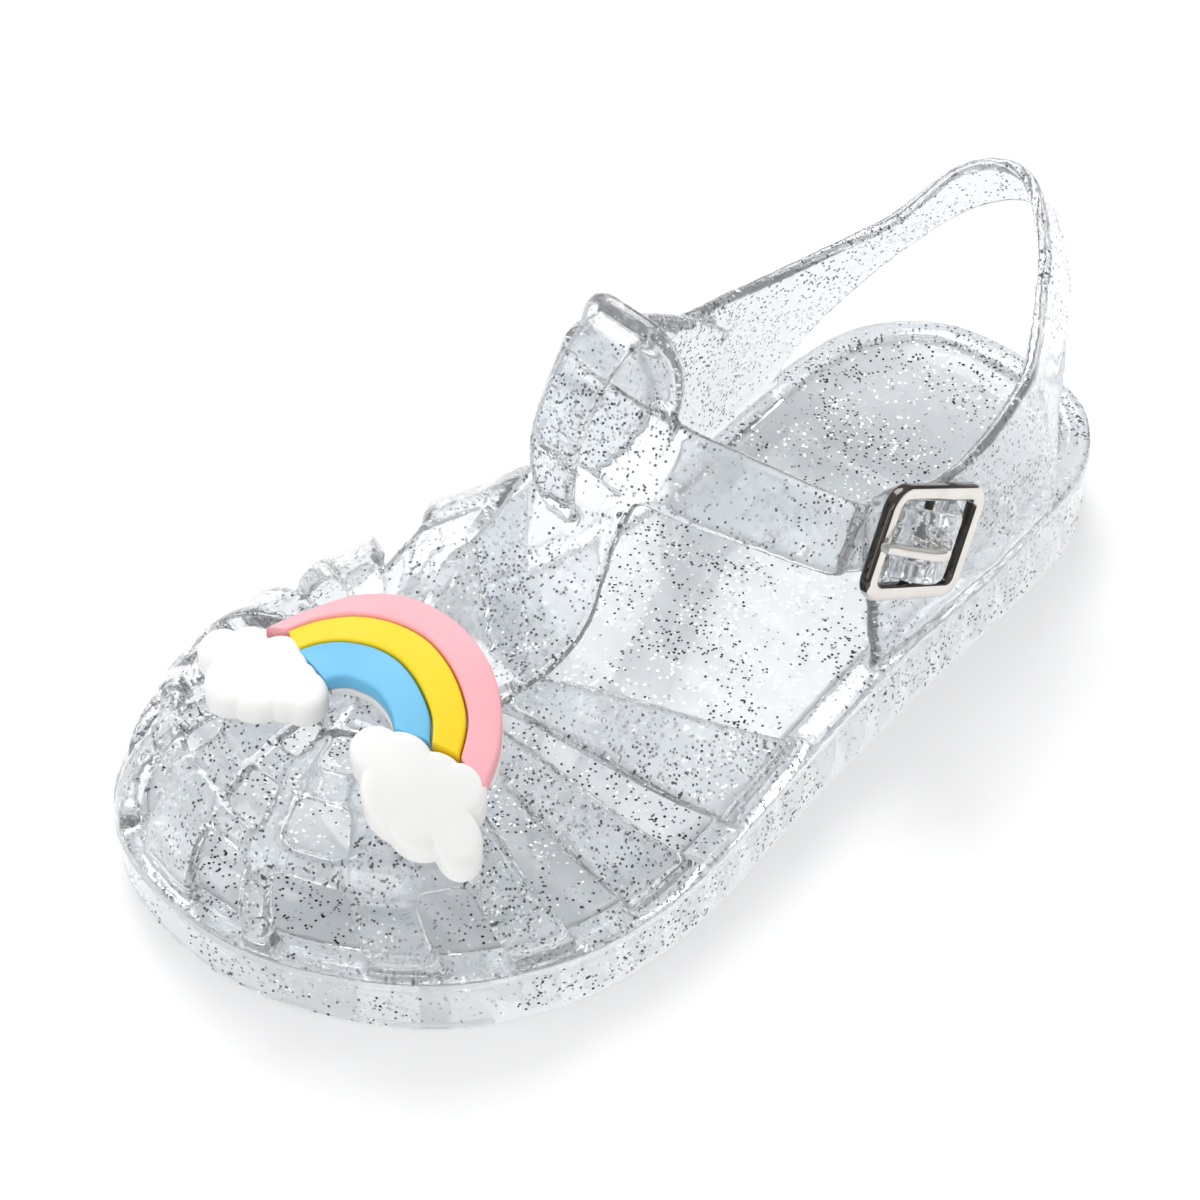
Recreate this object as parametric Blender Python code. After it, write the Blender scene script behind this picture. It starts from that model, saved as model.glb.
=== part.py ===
"""Jelly sandal, left foot: a clear moulded sole and upper, a metal buckle and a soft rainbow charm.

The toe points along +Y, the outer side of the foot is -X, and the sole stands on Z = 0.
Lengths are in metres. Tables give places as shares of the named sizes that they follow.
"""
import math

import bmesh
import bpy
from mathutils import Vector

MM = 0.001

# Driving sizes of the sole
LENGTH = 157.0 * MM
BALL_WIDTH = 72.6 * MM
HEEL_HEIGHT = 14.2 * MM
FOREFOOT_HEIGHT = 10.7 * MM
TOE_SPRING = 1.2 * MM
SOLE_DRAFT = 0.5 * MM
FIT_GAP = 0.3 * MM

# Pockets in the underside of the sole
POCKET_PITCH = 7.6 * MM
POCKET_WIDTH = 5.0 * MM
POCKET_ROOF = 3.0 * MM
RIM_WALL = 3.4 * MM

# Rim of the upper, which lies on the sole, and the insole inside it
RIM_THICKNESS = 2.0 * MM
RIM_WIDTH = 4.6 * MM
LEDGE = 1.0 * MM
INSOLE_THICKNESS = 2.2 * MM
INSOLE_SINK = 0.5 * MM
HEEL_CUP_DEPTH = 0.8 * MM
CUP_MARGIN = 3.2 * MM

# Walls of the upper
WALL = 2.0 * MM
STRAP_THICKNESS = 1.8 * MM
STRIP_RELIEF = 0.9 * MM
STRAP_WIDTH = 13.0 * MM

# Toe cage and instep
CROWN_HEIGHT = 34.0 * MM
CROWN_ALONG = 46.0 * MM
CROWN_ACROSS = 3.0 * MM
INSTEP_HEIGHT = 71.5 * MM
T_BAR_WIDTH = 18.0 * MM
HEEL_STRAP_HEIGHT = 53.0 * MM

# Buckle
BUCKLE_LENGTH = 21.8 * MM
BUCKLE_WIDTH = 16.4 * MM
BUCKLE_BAR = 2.3 * MM
BUCKLE_DEPTH = 2.0 * MM
BUCKLE_CORNER = 3.4 * MM
BAR_RADIUS = 0.9 * MM
BAR_LEVEL = -0.5 * MM
PRONG_WIDTH = 1.6 * MM
LUG_WIDTH = 2.2 * MM
LUG_RADIUS = 2.0 * MM
LUG_SPREAD = 3.6 * MM
SLOT_LENGTH = 5.4 * MM
SLOT_WIDTH = 2.6 * MM
SLOT_REACH = 7.0 * MM
QUARTER_LEVEL = -3.4 * MM
BUCKLE_PLACE = Vector((-0.376 * BALL_WIDTH, -0.1445 * LENGTH, 0.452 * INSTEP_HEIGHT))
BUCKLE_AXES = (Vector((0.0, -0.8565, -0.5162)), Vector((0.1250, -0.5120, 0.8500)),
               Vector((-0.9922, -0.0645, 0.1070)))

# Run of the ankle strap through the buckle, in the buckle's own frame
STRAP_IN_BUCKLE = [
    # toward the heel / BUCKLE_LENGTH, out of the shoe / STRAP_THICKNESS, width / STRAP_WIDTH
    (-0.76, -1.22, 0.82), (-0.58, -1.24, 0.79), (-0.44, -1.24, 0.78), (-0.34, -1.00, 0.78),
    (-0.20, 0.60, 0.78), (-0.07, 1.45, 0.78), (0.07, 1.45, 0.78), (0.20, 0.60, 0.78),
    (0.34, -1.00, 0.78), (0.44, -1.24, 0.78), (0.60, -1.24, 0.78), (0.80, -1.24, 0.78),
    (0.98, -1.24, 0.72), (1.08, -1.24, 0.50), (1.12, -1.24, 0.22),
]

# Middle of the prong from the centre bar to its tip on the front bar
PRONG_PATH = [
    # toward the heel / BUCKLE_LENGTH, out of the shoe / BUCKLE_LENGTH, width / PRONG_WIDTH
    (0.010, 0.055, 1.00), (-0.010, 0.150, 1.00), (-0.060, 0.215, 1.00), (-0.160, 0.215, 1.00),
    (-0.300, 0.160, 1.00), (-0.430, 0.105, 0.95), (-0.520, 0.085, 0.80),
]

# Charm
CHARM_BASE = 0.9 * MM
BAND_HEIGHT = 1.9 * MM
CLOUD_HEIGHT = 3.4 * MM
SEAT_ACROSS = (-0.38, 0.40)
CHARM_SEAT = [
    # along / LENGTH, then heights / CROWN_HEIGHT at even steps across between SEAT_ACROSS
    (0.20, 1.006, 1.075, 1.134, 1.147, 1.138, 1.117, 1.102, 1.093),
    (0.25, 0.901, 0.977, 1.070, 1.099, 1.083, 1.068, 1.068, 1.065),
    (0.30, 0.804, 0.914, 0.999, 1.038, 1.031, 1.040, 1.039, 1.030),
    (0.35, 0.719, 0.857, 0.967, 1.018, 1.049, 1.017, 1.003, 0.986),
    (0.40, 0.666, 0.790, 0.919, 0.978, 0.986, 0.956, 0.950, 0.940),
    (0.44, 0.628, 0.743, 0.842, 0.904, 0.921, 0.914, 0.903, 0.893),
]

# Edges of the rainbow's bands from its inner end, over its top, to its outer end
RAINBOW_EDGES = [
    # across / BALL_WIDTH, along / LENGTH of the pink edge, the yellow one, the blue one, the inside
    (0.214, 0.345, 0.177, 0.335, 0.124, 0.346, 0.029, 0.354),
    (0.189, 0.306, 0.155, 0.309, 0.108, 0.327, 0.020, 0.345),
    (0.152, 0.270, 0.119, 0.287, 0.084, 0.311, 0.007, 0.338),
    (0.077, 0.247, 0.064, 0.273, 0.047, 0.300, -0.011, 0.334),
    (-0.025, 0.241, -0.007, 0.268, -0.002, 0.296, -0.032, 0.331),
    (-0.124, 0.247, -0.077, 0.271, -0.053, 0.298, -0.054, 0.331),
    (-0.202, 0.262, -0.140, 0.280, -0.100, 0.304, -0.077, 0.333),
    (-0.259, 0.288, -0.190, 0.294, -0.142, 0.313, -0.098, 0.337),
    (-0.294, 0.321, -0.225, 0.316, -0.176, 0.327, -0.118, 0.343),
]

# Outlines of the clouds
CLOUD_INNER = [
    # across / BALL_WIDTH, along / LENGTH
    (0.275, 0.393), (0.288, 0.382), (0.277, 0.373), (0.250, 0.363), (0.236, 0.353),
    (0.216, 0.347), (0.190, 0.349), (0.165, 0.342), (0.139, 0.345), (0.113, 0.351),
    (0.087, 0.350), (0.048, 0.355), (0.024, 0.357), (0.014, 0.364), (0.016, 0.376),
    (0.035, 0.385), (0.067, 0.392), (0.106, 0.403), (0.148, 0.411), (0.183, 0.411),
    (0.210, 0.405), (0.237, 0.403),
]
CLOUD_OUTER = [
    # across / BALL_WIDTH, along / LENGTH
    (-0.103, 0.383), (-0.090, 0.374), (-0.086, 0.364), (-0.095, 0.352), (-0.112, 0.346),
    (-0.133, 0.344), (-0.147, 0.339), (-0.174, 0.335), (-0.190, 0.335), (-0.207, 0.328),
    (-0.229, 0.322), (-0.257, 0.328), (-0.277, 0.325), (-0.294, 0.322), (-0.312, 0.327),
    (-0.324, 0.337), (-0.339, 0.344), (-0.347, 0.354), (-0.343, 0.363), (-0.326, 0.372),
    (-0.308, 0.375), (-0.295, 0.372), (-0.275, 0.381), (-0.252, 0.390), (-0.226, 0.396),
    (-0.192, 0.399), (-0.159, 0.395), (-0.134, 0.387), (-0.115, 0.386),
]

# Around the sole, from the back of the heel by the outer side to the toe and back by the inner side
OUTLINE = [
    # across / BALL_WIDTH, along / LENGTH
    (0.036, -0.500), (-0.145, -0.487), (-0.269, -0.424), (-0.322, -0.324),
    (-0.358, -0.196), (-0.398, -0.076), (-0.435, 0.019), (-0.482, 0.127),
    (-0.500, 0.218), (-0.464, 0.313), (-0.337, 0.409), (-0.110, 0.481),
    (0.110, 0.500), (0.331, 0.478), (0.468, 0.409), (0.500, 0.313),
    (0.461, 0.218), (0.393, 0.122), (0.317, 0.000), (0.293, -0.101),
    (0.314, -0.196), (0.350, -0.324), (0.336, -0.419), (0.220, -0.483),
]

# Strips of the toe cage by the share of the sole's outline where each one starts and ends
STRIPS = [
    # name, from, to, hoops cross over it
    ("outer_rear", 0.240, 0.285, False),
    ("outer_middle", 0.304, 0.336, False),
    ("outer_front", 0.357, 0.383, False),
    ("outer_toe", 0.404, 0.432, True),
    ("toe_narrow", 0.464, 0.477, False),
    ("toe_centre", 0.500, 0.532, True),
    ("toe_inner", 0.544, 0.556, False),
    ("inner_toe", 0.574, 0.594, True),
    ("inner_front", 0.612, 0.638, False),
    ("inner_middle", 0.656, 0.684, False),
    ("inner_rear", 0.702, 0.750, False),
]

# Hoops that cross the strips, by the share of the way from the sole to the crown
HOOPS = [
    # from, to, first strip, last strip
    (0.36, 0.46, "outer_front", "inner_front"),
    (0.60, 0.70, "outer_toe", "inner_toe"),
]
CLOSED_FROM = 0.80

# Curve of the toe cage in each direction, by the share of the sole's outline
CAGE_CURVE = [
    # share, fullness of the curve, lift / CROWN_HEIGHT, forward sweep / LENGTH
    (0.240, 1.60, 0.03, 0.044), (0.300, 1.65, 0.02, 0.040), (0.340, 1.75, 0.00, 0.036),
    (0.430, 2.10, 0.00, 0.030), (0.480, 2.25, 0.00, 0.016), (0.530, 2.40, 0.00, 0.000),
    (0.580, 2.40, 0.00, -0.010), (0.630, 2.50, 0.02, -0.020), (0.680, 2.80, 0.06, -0.034),
    (0.700, 3.60, 0.12, -0.046), (0.750, 4.00, 0.12, -0.050),
]

# Middle of the T-bar from the crown to its top
T_BAR = [
    # across / BALL_WIDTH, along / LENGTH, way from CROWN_HEIGHT to INSTEP_HEIGHT, width / T_BAR_WIDTH
    (0.000, 0.255, -0.0105, 1.10), (-0.030, 0.217, 0.0314, 1.25), (-0.034, 0.178, 0.0924, 1.28),
    (-0.018, 0.143, 0.1611, 1.12), (-0.004, 0.118, 0.2145, 1.02), (0.000, 0.098, 0.2812, 0.98),
    (0.000, 0.082, 0.3555, 0.96), (0.000, 0.065, 0.4509, 0.98), (0.003, 0.052, 0.5329, 1.00),
    (0.004, 0.038, 0.6377, 1.02), (0.004, 0.030, 0.7464, 1.04), (0.004, 0.027, 0.8532, 0.98),
    (0.004, 0.029, 0.9333, 0.80), (0.004, 0.031, 0.9771, 0.45),
]

# Quarters and heel strap, from the outer front edge around the heel to the inner front edge
QUARTER_BAND = [
    # lower edge: across / BALL_WIDTH, along / LENGTH, height / HEEL_STRAP_HEIGHT; upper edge: the same
    (-0.356, -0.096, 0.243, -0.318, -0.086, 0.80),
    (-0.353, -0.150, 0.243, -0.316, -0.134, 0.77),
    (-0.345, -0.210, 0.243, -0.313, -0.186, 0.70),
    (-0.330, -0.270, 0.248, -0.304, -0.246, 0.72),
    (-0.300, -0.345, 0.27, -0.266, -0.312, 0.76),
    (-0.240, -0.378, 0.47, -0.222, -0.347, 0.79),
    (-0.197, -0.406, 0.65, -0.165, -0.382, 0.83),
    (-0.118, -0.446, 0.77, -0.098, -0.417, 0.90),
    (0.000, -0.476, 0.84, 0.000, -0.442, 1.00),
    (0.110, -0.452, 0.79, 0.100, -0.424, 0.97),
    (0.200, -0.404, 0.65, 0.176, -0.378, 0.82),
    (0.262, -0.347, 0.50, 0.236, -0.327, 0.75),
    (0.306, -0.318, 0.36, 0.272, -0.272, 0.72),
    (0.322, -0.285, 0.243, 0.285, -0.217, 0.73),
    (0.300, -0.215, 0.243, 0.272, -0.152, 0.78),
    (0.284, -0.155, 0.243, 0.252, -0.100, 0.88),
]

# Middle of the ankle strap from the inner quarter, through the loop, to the buckle
ANKLE_STRAP = [
    # across / BALL_WIDTH, along / LENGTH, height / INSTEP_HEIGHT, width / STRAP_WIDTH, then the
    # direction of its width as x, y, z
    (0.266, -0.185, 0.440, 0.80, -0.12, 0.30, 1.0),
    (0.250, -0.120, 0.545, 0.98, -0.15, 0.15, 1.0),
    (0.228, -0.062, 0.640, 0.97, -0.20, 0.00, 1.0),
    (0.200, -0.012, 0.720, 0.96, -0.25, -0.15, 1.0),
    (0.164, 0.034, 0.780, 0.96, -0.20, -0.32, 1.0),
    (0.112, 0.068, 0.805, 0.96, -0.06, -0.42, 1.0),
    (0.040, 0.077, 0.800, 0.96, 0.00, -0.42, 1.0),
    (-0.030, 0.074, 0.788, 0.96, 0.00, -0.42, 1.0),
    (-0.105, 0.062, 0.762, 0.95, 0.10, -0.36, 1.0),
    (-0.180, 0.036, 0.715, 0.93, 0.20, -0.28, 1.0),
    (-0.250, -0.003, 0.648, 0.88, 0.22, -0.25, 1.0),
]

# Loop in front of the strap, from the top of the T-bar to its face
LOOP_BAND = [
    # across / BALL_WIDTH, along / LENGTH, height / INSTEP_HEIGHT, width / T_BAR_WIDTH
    (0.004, 0.030, 0.950, 0.50), (0.004, 0.054, 0.958, 0.50), (0.006, 0.078, 0.915, 0.48),
    (0.016, 0.098, 0.830, 0.46), (0.024, 0.108, 0.745, 0.46), (0.014, 0.111, 0.685, 0.42),
    (-0.006, 0.112, 0.640, 0.30), (-0.016, 0.104, 0.610, 0.16),
]

# Rows and columns of the sheets: how finely each is divided
STRIP_CELLS = 2
CAGE_ROWS = [0.00, 0.09, 0.18, 0.27, 0.36, 0.46, 0.53, 0.60, 0.70, 0.80, 0.90, 1.00]
OUTLINE_STEPS = 72


def clear_scene():
    for thing in list(bpy.data.objects):
        bpy.data.objects.remove(thing, do_unlink=True)


def material(name, colour, roughness, metallic=0.0):
    finish = bpy.data.materials.new(name)
    finish.use_nodes = True
    shader = finish.node_tree.nodes["Principled BSDF"]
    shader.inputs["Base Color"].default_value = (*colour, 1.0)
    shader.inputs["Roughness"].default_value = roughness
    shader.inputs["Metallic"].default_value = metallic
    return finish


def add_object(name, shape, finish, smooth_angle=35.0):
    bmesh.ops.recalc_face_normals(shape, faces=shape.faces[:])
    mesh = bpy.data.meshes.new(name)
    shape.to_mesh(mesh)
    shape.free()
    mesh.shade_smooth()
    mesh.set_sharp_from_angle(angle=math.radians(smooth_angle))
    thing = bpy.data.objects.new(name, mesh)
    if finish:
        mesh.materials.append(finish)
    bpy.context.scene.collection.objects.link(thing)
    return thing


def helper(name, shape):
    thing = add_object(name, shape, None)
    thing.hide_render = True
    thing.display_type = "WIRE"
    return thing


def combine(target, other, operation):
    step = target.modifiers.new(other.name, "BOOLEAN")
    step.operation = operation
    step.object = other
    step.solver = "EXACT"


def blend(a, b, share):
    return a + (b - a) * share


def smooth_share(value, low, high):
    share = min(max((value - low) / (high - low), 0.0), 1.0)
    return share * share * (3.0 - 2.0 * share)


def curve_point(rows, place, closed=False):
    """Point of the smooth curve through the rows, at a place counted in rows."""
    count = len(rows)
    if closed:
        start = math.floor(place)
    else:
        start = min(max(math.floor(place), 0), count - 2)
    part = place - start
    picks = []
    for step in (-1, 0, 1, 2):
        index = start + step
        picks.append(rows[index % count] if closed else rows[min(max(index, 0), count - 1)])
    before, first, second, after = picks
    result = []
    for a, b, c, d in zip(before, first, second, after):
        result.append(0.5 * (2.0 * b + (c - a) * part + (2.0 * a - 5.0 * b + 4.0 * c - d) * part ** 2
                             + (3.0 * b - a - 3.0 * c + d) * part ** 3))
    return result


def table_value(rows, key):
    """Values of a table at a key in its first column, on straight lines between rows."""
    if key <= rows[0][0]:
        return rows[0][1:]
    for low, high in zip(rows, rows[1:]):
        if key <= high[0]:
            share = (key - low[0]) / (high[0] - low[0])
            return [blend(a, b, share) for a, b in zip(low[1:], high[1:])]
    return rows[-1][1:]


def measure_outline():
    """Evenly spaced points around the sole, so that a share means a share of its perimeter."""
    dense = []
    per_row = 40
    for step in range(len(OUTLINE) * per_row):
        across, along = curve_point(OUTLINE, step / per_row, closed=True)
        dense.append(Vector((across * BALL_WIDTH, along * LENGTH)))
    left = min(p.x for p in dense)
    right = max(p.x for p in dense)
    back = min(p.y for p in dense)
    front = max(p.y for p in dense)
    middle = Vector(((left + right) / 2.0, (back + front) / 2.0))
    dense = [p - middle for p in dense]
    lengths = [0.0]
    for index in range(len(dense)):
        lengths.append(lengths[-1] + (dense[(index + 1) % len(dense)] - dense[index]).length)
    return dense, lengths


DENSE_OUTLINE, OUTLINE_LENGTHS = measure_outline()


def outline_at(share):
    """Point on the sole's outline and the direction that points out of the sole there."""
    target = (share % 1.0) * OUTLINE_LENGTHS[-1]
    low = 0
    high = len(DENSE_OUTLINE)
    while high - low > 1:
        middle = (low + high) // 2
        if OUTLINE_LENGTHS[middle] <= target:
            low = middle
        else:
            high = middle
    start = DENSE_OUTLINE[low]
    end = DENSE_OUTLINE[(low + 1) % len(DENSE_OUTLINE)]
    part = (target - OUTLINE_LENGTHS[low]) / (OUTLINE_LENGTHS[low + 1] - OUTLINE_LENGTHS[low])
    ahead = DENSE_OUTLINE[(low + 6) % len(DENSE_OUTLINE)] - DENSE_OUTLINE[low - 5]
    outward = Vector((-ahead.y, ahead.x)).normalized()
    return start.lerp(end, part), outward


def sole_top(along):
    """Height of the sole's top edge, which steps up from the forefoot to the heel."""
    return blend(HEEL_HEIGHT, FOREFOOT_HEIGHT, smooth_share(along / LENGTH, -0.26, 0.24))


def sole_bottom(along):
    return TOE_SPRING * smooth_share(along / LENGTH, 0.36, 0.52) ** 2


def ring_points(inset, height_of, steps=OUTLINE_STEPS):
    points = []
    for step in range(steps):
        place, outward = outline_at(step / steps)
        spot = place - outward * inset
        points.append(Vector((spot.x, spot.y, height_of(spot.y))))
    return points


def join_rings(shape, low, high):
    """Wall of four-sided faces between two rings with the same number of corners."""
    for index in range(len(low)):
        shape.faces.new((low[index - 1], low[index], high[index], high[index - 1]))


def fill_across(shape, ring):
    """Lid over a ring in strips from side to side, so that it follows heights along the sole."""
    count = len(ring)
    shape.faces.new((ring[0], ring[1], ring[-1]))
    for index in range(1, count // 2 - 1):
        shape.faces.new((ring[index], ring[index + 1], ring[count - index - 1], ring[count - index]))
    toe = count // 2
    shape.faces.new((ring[toe - 1], ring[toe], ring[toe + 1]))


def stack_rings(rings, across=False):
    """Closed solid through rings of points, with its first and last ring filled."""
    shape = bmesh.new()
    built = [[shape.verts.new(point) for point in ring] for ring in rings]
    for low, high in zip(built, built[1:]):
        join_rings(shape, low, high)
    for ring in (built[0], built[-1]):
        if across:
            fill_across(shape, ring)
        else:
            shape.faces.new(ring)
    return shape


def close_tube(rings):
    """Closed solid through rings that come back to the first one."""
    shape = bmesh.new()
    built = [[shape.verts.new(point) for point in ring] for ring in rings]
    for low, high in zip(built, built[1:] + built[:1]):
        join_rings(shape, low, high)
    return shape


def thick_sheet(columns, rows, place, wall, out_from=None, is_open=None, wrap=False):
    """Sheet with a wall: a grid moved onto a surface, its open cells taken out, then thickened.

    The wall grows away from the point that out_from gives for a place on the sheet, or straight
    up where there is none.
    """
    shape = bmesh.new()
    lift = shape.verts.layers.float.new("wall")
    away = shape.verts.layers.float_vector.new("away")
    bmesh.ops.create_grid(shape, x_segments=columns, y_segments=rows, size=1.0)
    cell = {}
    for vert in shape.verts:
        column = round((vert.co.x + 1.0) / 2.0 * columns)
        row = round((vert.co.y + 1.0) / 2.0 * rows)
        cell[vert] = (column, row)
    if is_open:
        gone = []
        for face in shape.faces:
            column = min(cell[v][0] for v in face.verts)
            row = min(cell[v][1] for v in face.verts)
            if is_open(column, row):
                gone.append(face)
        bmesh.ops.delete(shape, geom=gone, context="FACES")
    for vert in shape.verts:
        column, row = cell[vert]
        vert.co = place(column, row)
        vert[lift] = wall(column, row)
    if wrap:
        bmesh.ops.remove_doubles(shape, verts=shape.verts[:], dist=0.01 * MM)
    shape.normal_update()
    leaning = 0.0
    if out_from:
        for face in shape.faces:
            spot = face.calc_center_median()
            leaning += face.normal.dot(spot - out_from(spot))
    for vert in shape.verts:
        if out_from:
            vert[away] = vert.normal if leaning > 0.0 else -vert.normal
        else:
            vert[away] = Vector((0.0, 0.0, 1.0))
    doubled = bmesh.ops.extrude_face_region(shape, geom=shape.faces[:], use_keep_orig=True)
    for item in doubled["geom"]:
        if isinstance(item, bmesh.types.BMVert):
            item.co += Vector(item[away]) * item[lift]
    bmesh.ops.recalc_face_normals(shape, faces=shape.faces[:])
    return shape


def ribbon(stations, thickness, steps):
    """Flat band along a route. A station is a middle point, a width direction and a width."""
    rings = []
    last = len(stations) - 1
    for step in range(steps + 1):
        place = step / steps * last
        values = curve_point(stations, place)
        ahead = Vector(curve_point(stations, min(place + 0.02, last))[:3])
        behind = Vector(curve_point(stations, max(place - 0.02, 0.0))[:3])
        forward = (ahead - behind).normalized()
        middle = Vector(values[:3])
        side = Vector(values[3:6])
        side = (side - forward * side.dot(forward)).normalized()
        out = side.cross(forward).normalized()
        half = side * values[6] / 2.0
        deep = out * thickness / 2.0
        rings.append([middle - half - deep, middle + half - deep, middle + half + deep,
                      middle - half + deep])
    return stack_rings(rings)


def make_outsole(finish):
    """Moulded sole: side wall with a slight draft, open pockets under a solid top."""
    def under_rim(along):
        return sole_top(along) - RIM_THICKNESS - FIT_GAP

    def low_edge(along):
        return sole_bottom(along) + 0.6 * MM

    shape = stack_rings([
        ring_points(SOLE_DRAFT + 0.5 * MM, sole_bottom),
        ring_points(SOLE_DRAFT, low_edge),
        ring_points(0.0, under_rim),
    ], across=True)
    sole = add_object("outsole", shape, finish)
    pockets = bmesh.new()
    count = int((LENGTH - 4.0 * RIM_WALL) / POCKET_PITCH)
    first = -(count - 1) * POCKET_PITCH / 2.0
    for number in range(count):
        add_pocket(pockets, first + number * POCKET_PITCH)
    combine(sole, helper("pocket_cutter", pockets), "DIFFERENCE")
    return sole


def side_limits(along, inset):
    """How far the outline, drawn in by an inset, reaches to each side at a place along the sole."""
    left = 0.0
    right = 0.0
    points = ring_points(inset, sole_top, OUTLINE_STEPS * 2)
    for start, end in zip(points, points[1:] + points[:1]):
        if (start.y - along) * (end.y - along) <= 0.0 and start.y != end.y:
            across = blend(start.x, end.x, (along - start.y) / (end.y - start.y))
            left = min(left, across)
            right = max(right, across)
    return left, right


def add_pocket(shape, middle):
    """One transverse pocket, as a tapered block that reaches below the sole."""
    back = middle - POCKET_WIDTH / 2.0
    front = middle + POCKET_WIDTH / 2.0
    ceiling = sole_top(middle) - RIM_THICKNESS - FIT_GAP - POCKET_ROOF
    corners = []
    for height in (-1.0 * MM, ceiling):
        for along in (back, front):
            left, right = side_limits(along, RIM_WALL)
            pair = (left, right) if along == back else (right, left)
            corners.extend(Vector((x, along, height)) for x in pair)
    verts = [shape.verts.new(c) for c in corners]
    bmesh.ops.convex_hull(shape, input=verts)


def make_insole(finish):
    """Footbed plate inside the upper's rim, with a shallow cup at the heel."""
    inset = RIM_WIDTH + FIT_GAP

    def seat(along):
        return sole_top(along) - RIM_THICKNESS

    def face(along):
        return seat(along) + INSOLE_THICKNESS - INSOLE_SINK

    def cup(along):
        return face(along) - HEEL_CUP_DEPTH * (1.0 - smooth_share(along / LENGTH, -0.25, -0.05))

    shape = stack_rings([
        ring_points(inset, seat),
        ring_points(inset, face),
        ring_points(inset + CUP_MARGIN / 2.0, face),
        ring_points(inset + CUP_MARGIN, cup),
    ], across=True)
    return add_object("insole", shape, finish)


def rim_solid():
    """Flat ring that lies on the sole all the way around."""
    def top(along):
        return sole_top(along)

    def bottom(along):
        return sole_top(along) - RIM_THICKNESS

    return close_tube([
        ring_points(0.0, bottom),
        ring_points(0.0, top),
        ring_points(RIM_WIDTH, top),
        ring_points(RIM_WIDTH, bottom),
    ])


def cage_point(share, way):
    """Point on the inside of the toe cage, a way of 0 at the sole and 1 at the crown."""
    foot, outward = outline_at(share)
    foot = foot - outward * (LEDGE + WALL)
    fullness, lift, sweep = table_value(CAGE_CURVE, share)
    crown = Vector((CROWN_ACROSS, CROWN_ALONG))
    angle = way * math.pi / 2.0
    inward = 1.0 - math.cos(angle) ** (2.0 / fullness)
    rise = math.sin(angle) ** (2.0 / fullness)
    base = sole_top(foot.y) - RIM_THICKNESS / 2.0
    plan = foot.lerp(crown, inward)
    plan.y += sweep * LENGTH * math.sin(math.pi * inward ** 0.45)
    height = blend(base, CROWN_HEIGHT - WALL, rise)
    height += lift * CROWN_HEIGHT * math.sin(math.pi * inward) ** 2
    return Vector((plan.x, plan.y, height))


def throat_point(share, way):
    """Behind the rear strips the cage only closes around the crown."""
    last = STRIPS[-1][2]
    first = STRIPS[0][1] + 1.0
    part = (share - last) / (first - last)
    a = cage_point(last, way)
    b = cage_point(first - 1.0, way)
    return a.lerp(b, part)


def cage_columns():
    """Shares of the outline at the cage's columns, and whether each column of cells is a strip."""
    shares = []
    names = []
    for number, (name, start, end, _) in enumerate(STRIPS):
        for cell in range(STRIP_CELLS):
            shares.append(blend(start, end, cell / STRIP_CELLS))
            names.append(name)
        if number + 1 < len(STRIPS):
            shares.append(end)
            names.append("")
    end = STRIPS[-1][2]
    throat_cells = 6
    for cell in range(throat_cells):
        shares.append(blend(end, STRIPS[0][1] + 1.0, cell / throat_cells))
        names.append("throat")
    shares.append(STRIPS[0][1] + 1.0)
    return shares, names


def make_cage():
    """Closed toe of broad strips, with open gaps and hoops woven across the toe."""
    shares, names = cage_columns()
    order = [row[0] for row in STRIPS]
    under = {row[0]: row[3] for row in STRIPS}
    rows = CAGE_ROWS

    def place(column, row):
        share = shares[column]
        if share > STRIPS[-1][2]:
            return throat_point(share, rows[row])
        return cage_point(share, rows[row])

    def hoop_at(column, way):
        share = shares[column]
        for start, end, first, last in HOOPS:
            low = STRIPS[order.index(first)][1]
            high = STRIPS[order.index(last)][2]
            if start - 1e-6 <= way <= end + 1e-6 and low <= share <= high:
                return True
        return False

    def wall(column, row):
        way = rows[row]
        name = names[min(column, len(names) - 1)] or names[column - 1]
        fade = smooth_share(1.0 - way, 0.0, 1.0 - CLOSED_FROM)
        if name == "throat":
            return WALL
        raised = under.get(name, False) == hoop_at(column, way)
        return WALL + (STRIP_RELIEF * fade if raised else 0.0)

    def is_open(column, row):
        way = (rows[row] + rows[row + 1]) / 2.0
        if names[column] == "throat":
            return way < CLOSED_FROM - 0.12
        if names[column] or way > CLOSED_FROM:
            return False
        return not hoop_at(column, way)

    def middle(spot):
        return Vector((CROWN_ACROSS, CROWN_ALONG, 0.0))

    return thick_sheet(len(names), len(rows) - 1, place, wall, middle, is_open, wrap=True)


def t_bar_stations():
    """The T-bar's stations with their width across the foot."""
    stations = []
    for across, along, height, width in T_BAR:
        stations.append((across * BALL_WIDTH, along * LENGTH, blend(CROWN_HEIGHT, INSTEP_HEIGHT, height),
                         1.0, 0.0, 0.0, width * T_BAR_WIDTH))
    return stations


def loop_stations():
    stations = []
    for across, along, height, width in LOOP_BAND:
        stations.append((across * BALL_WIDTH, along * LENGTH, height * INSTEP_HEIGHT,
                         1.0, 0.0, 0.0, width * T_BAR_WIDTH))
    return stations


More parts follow.
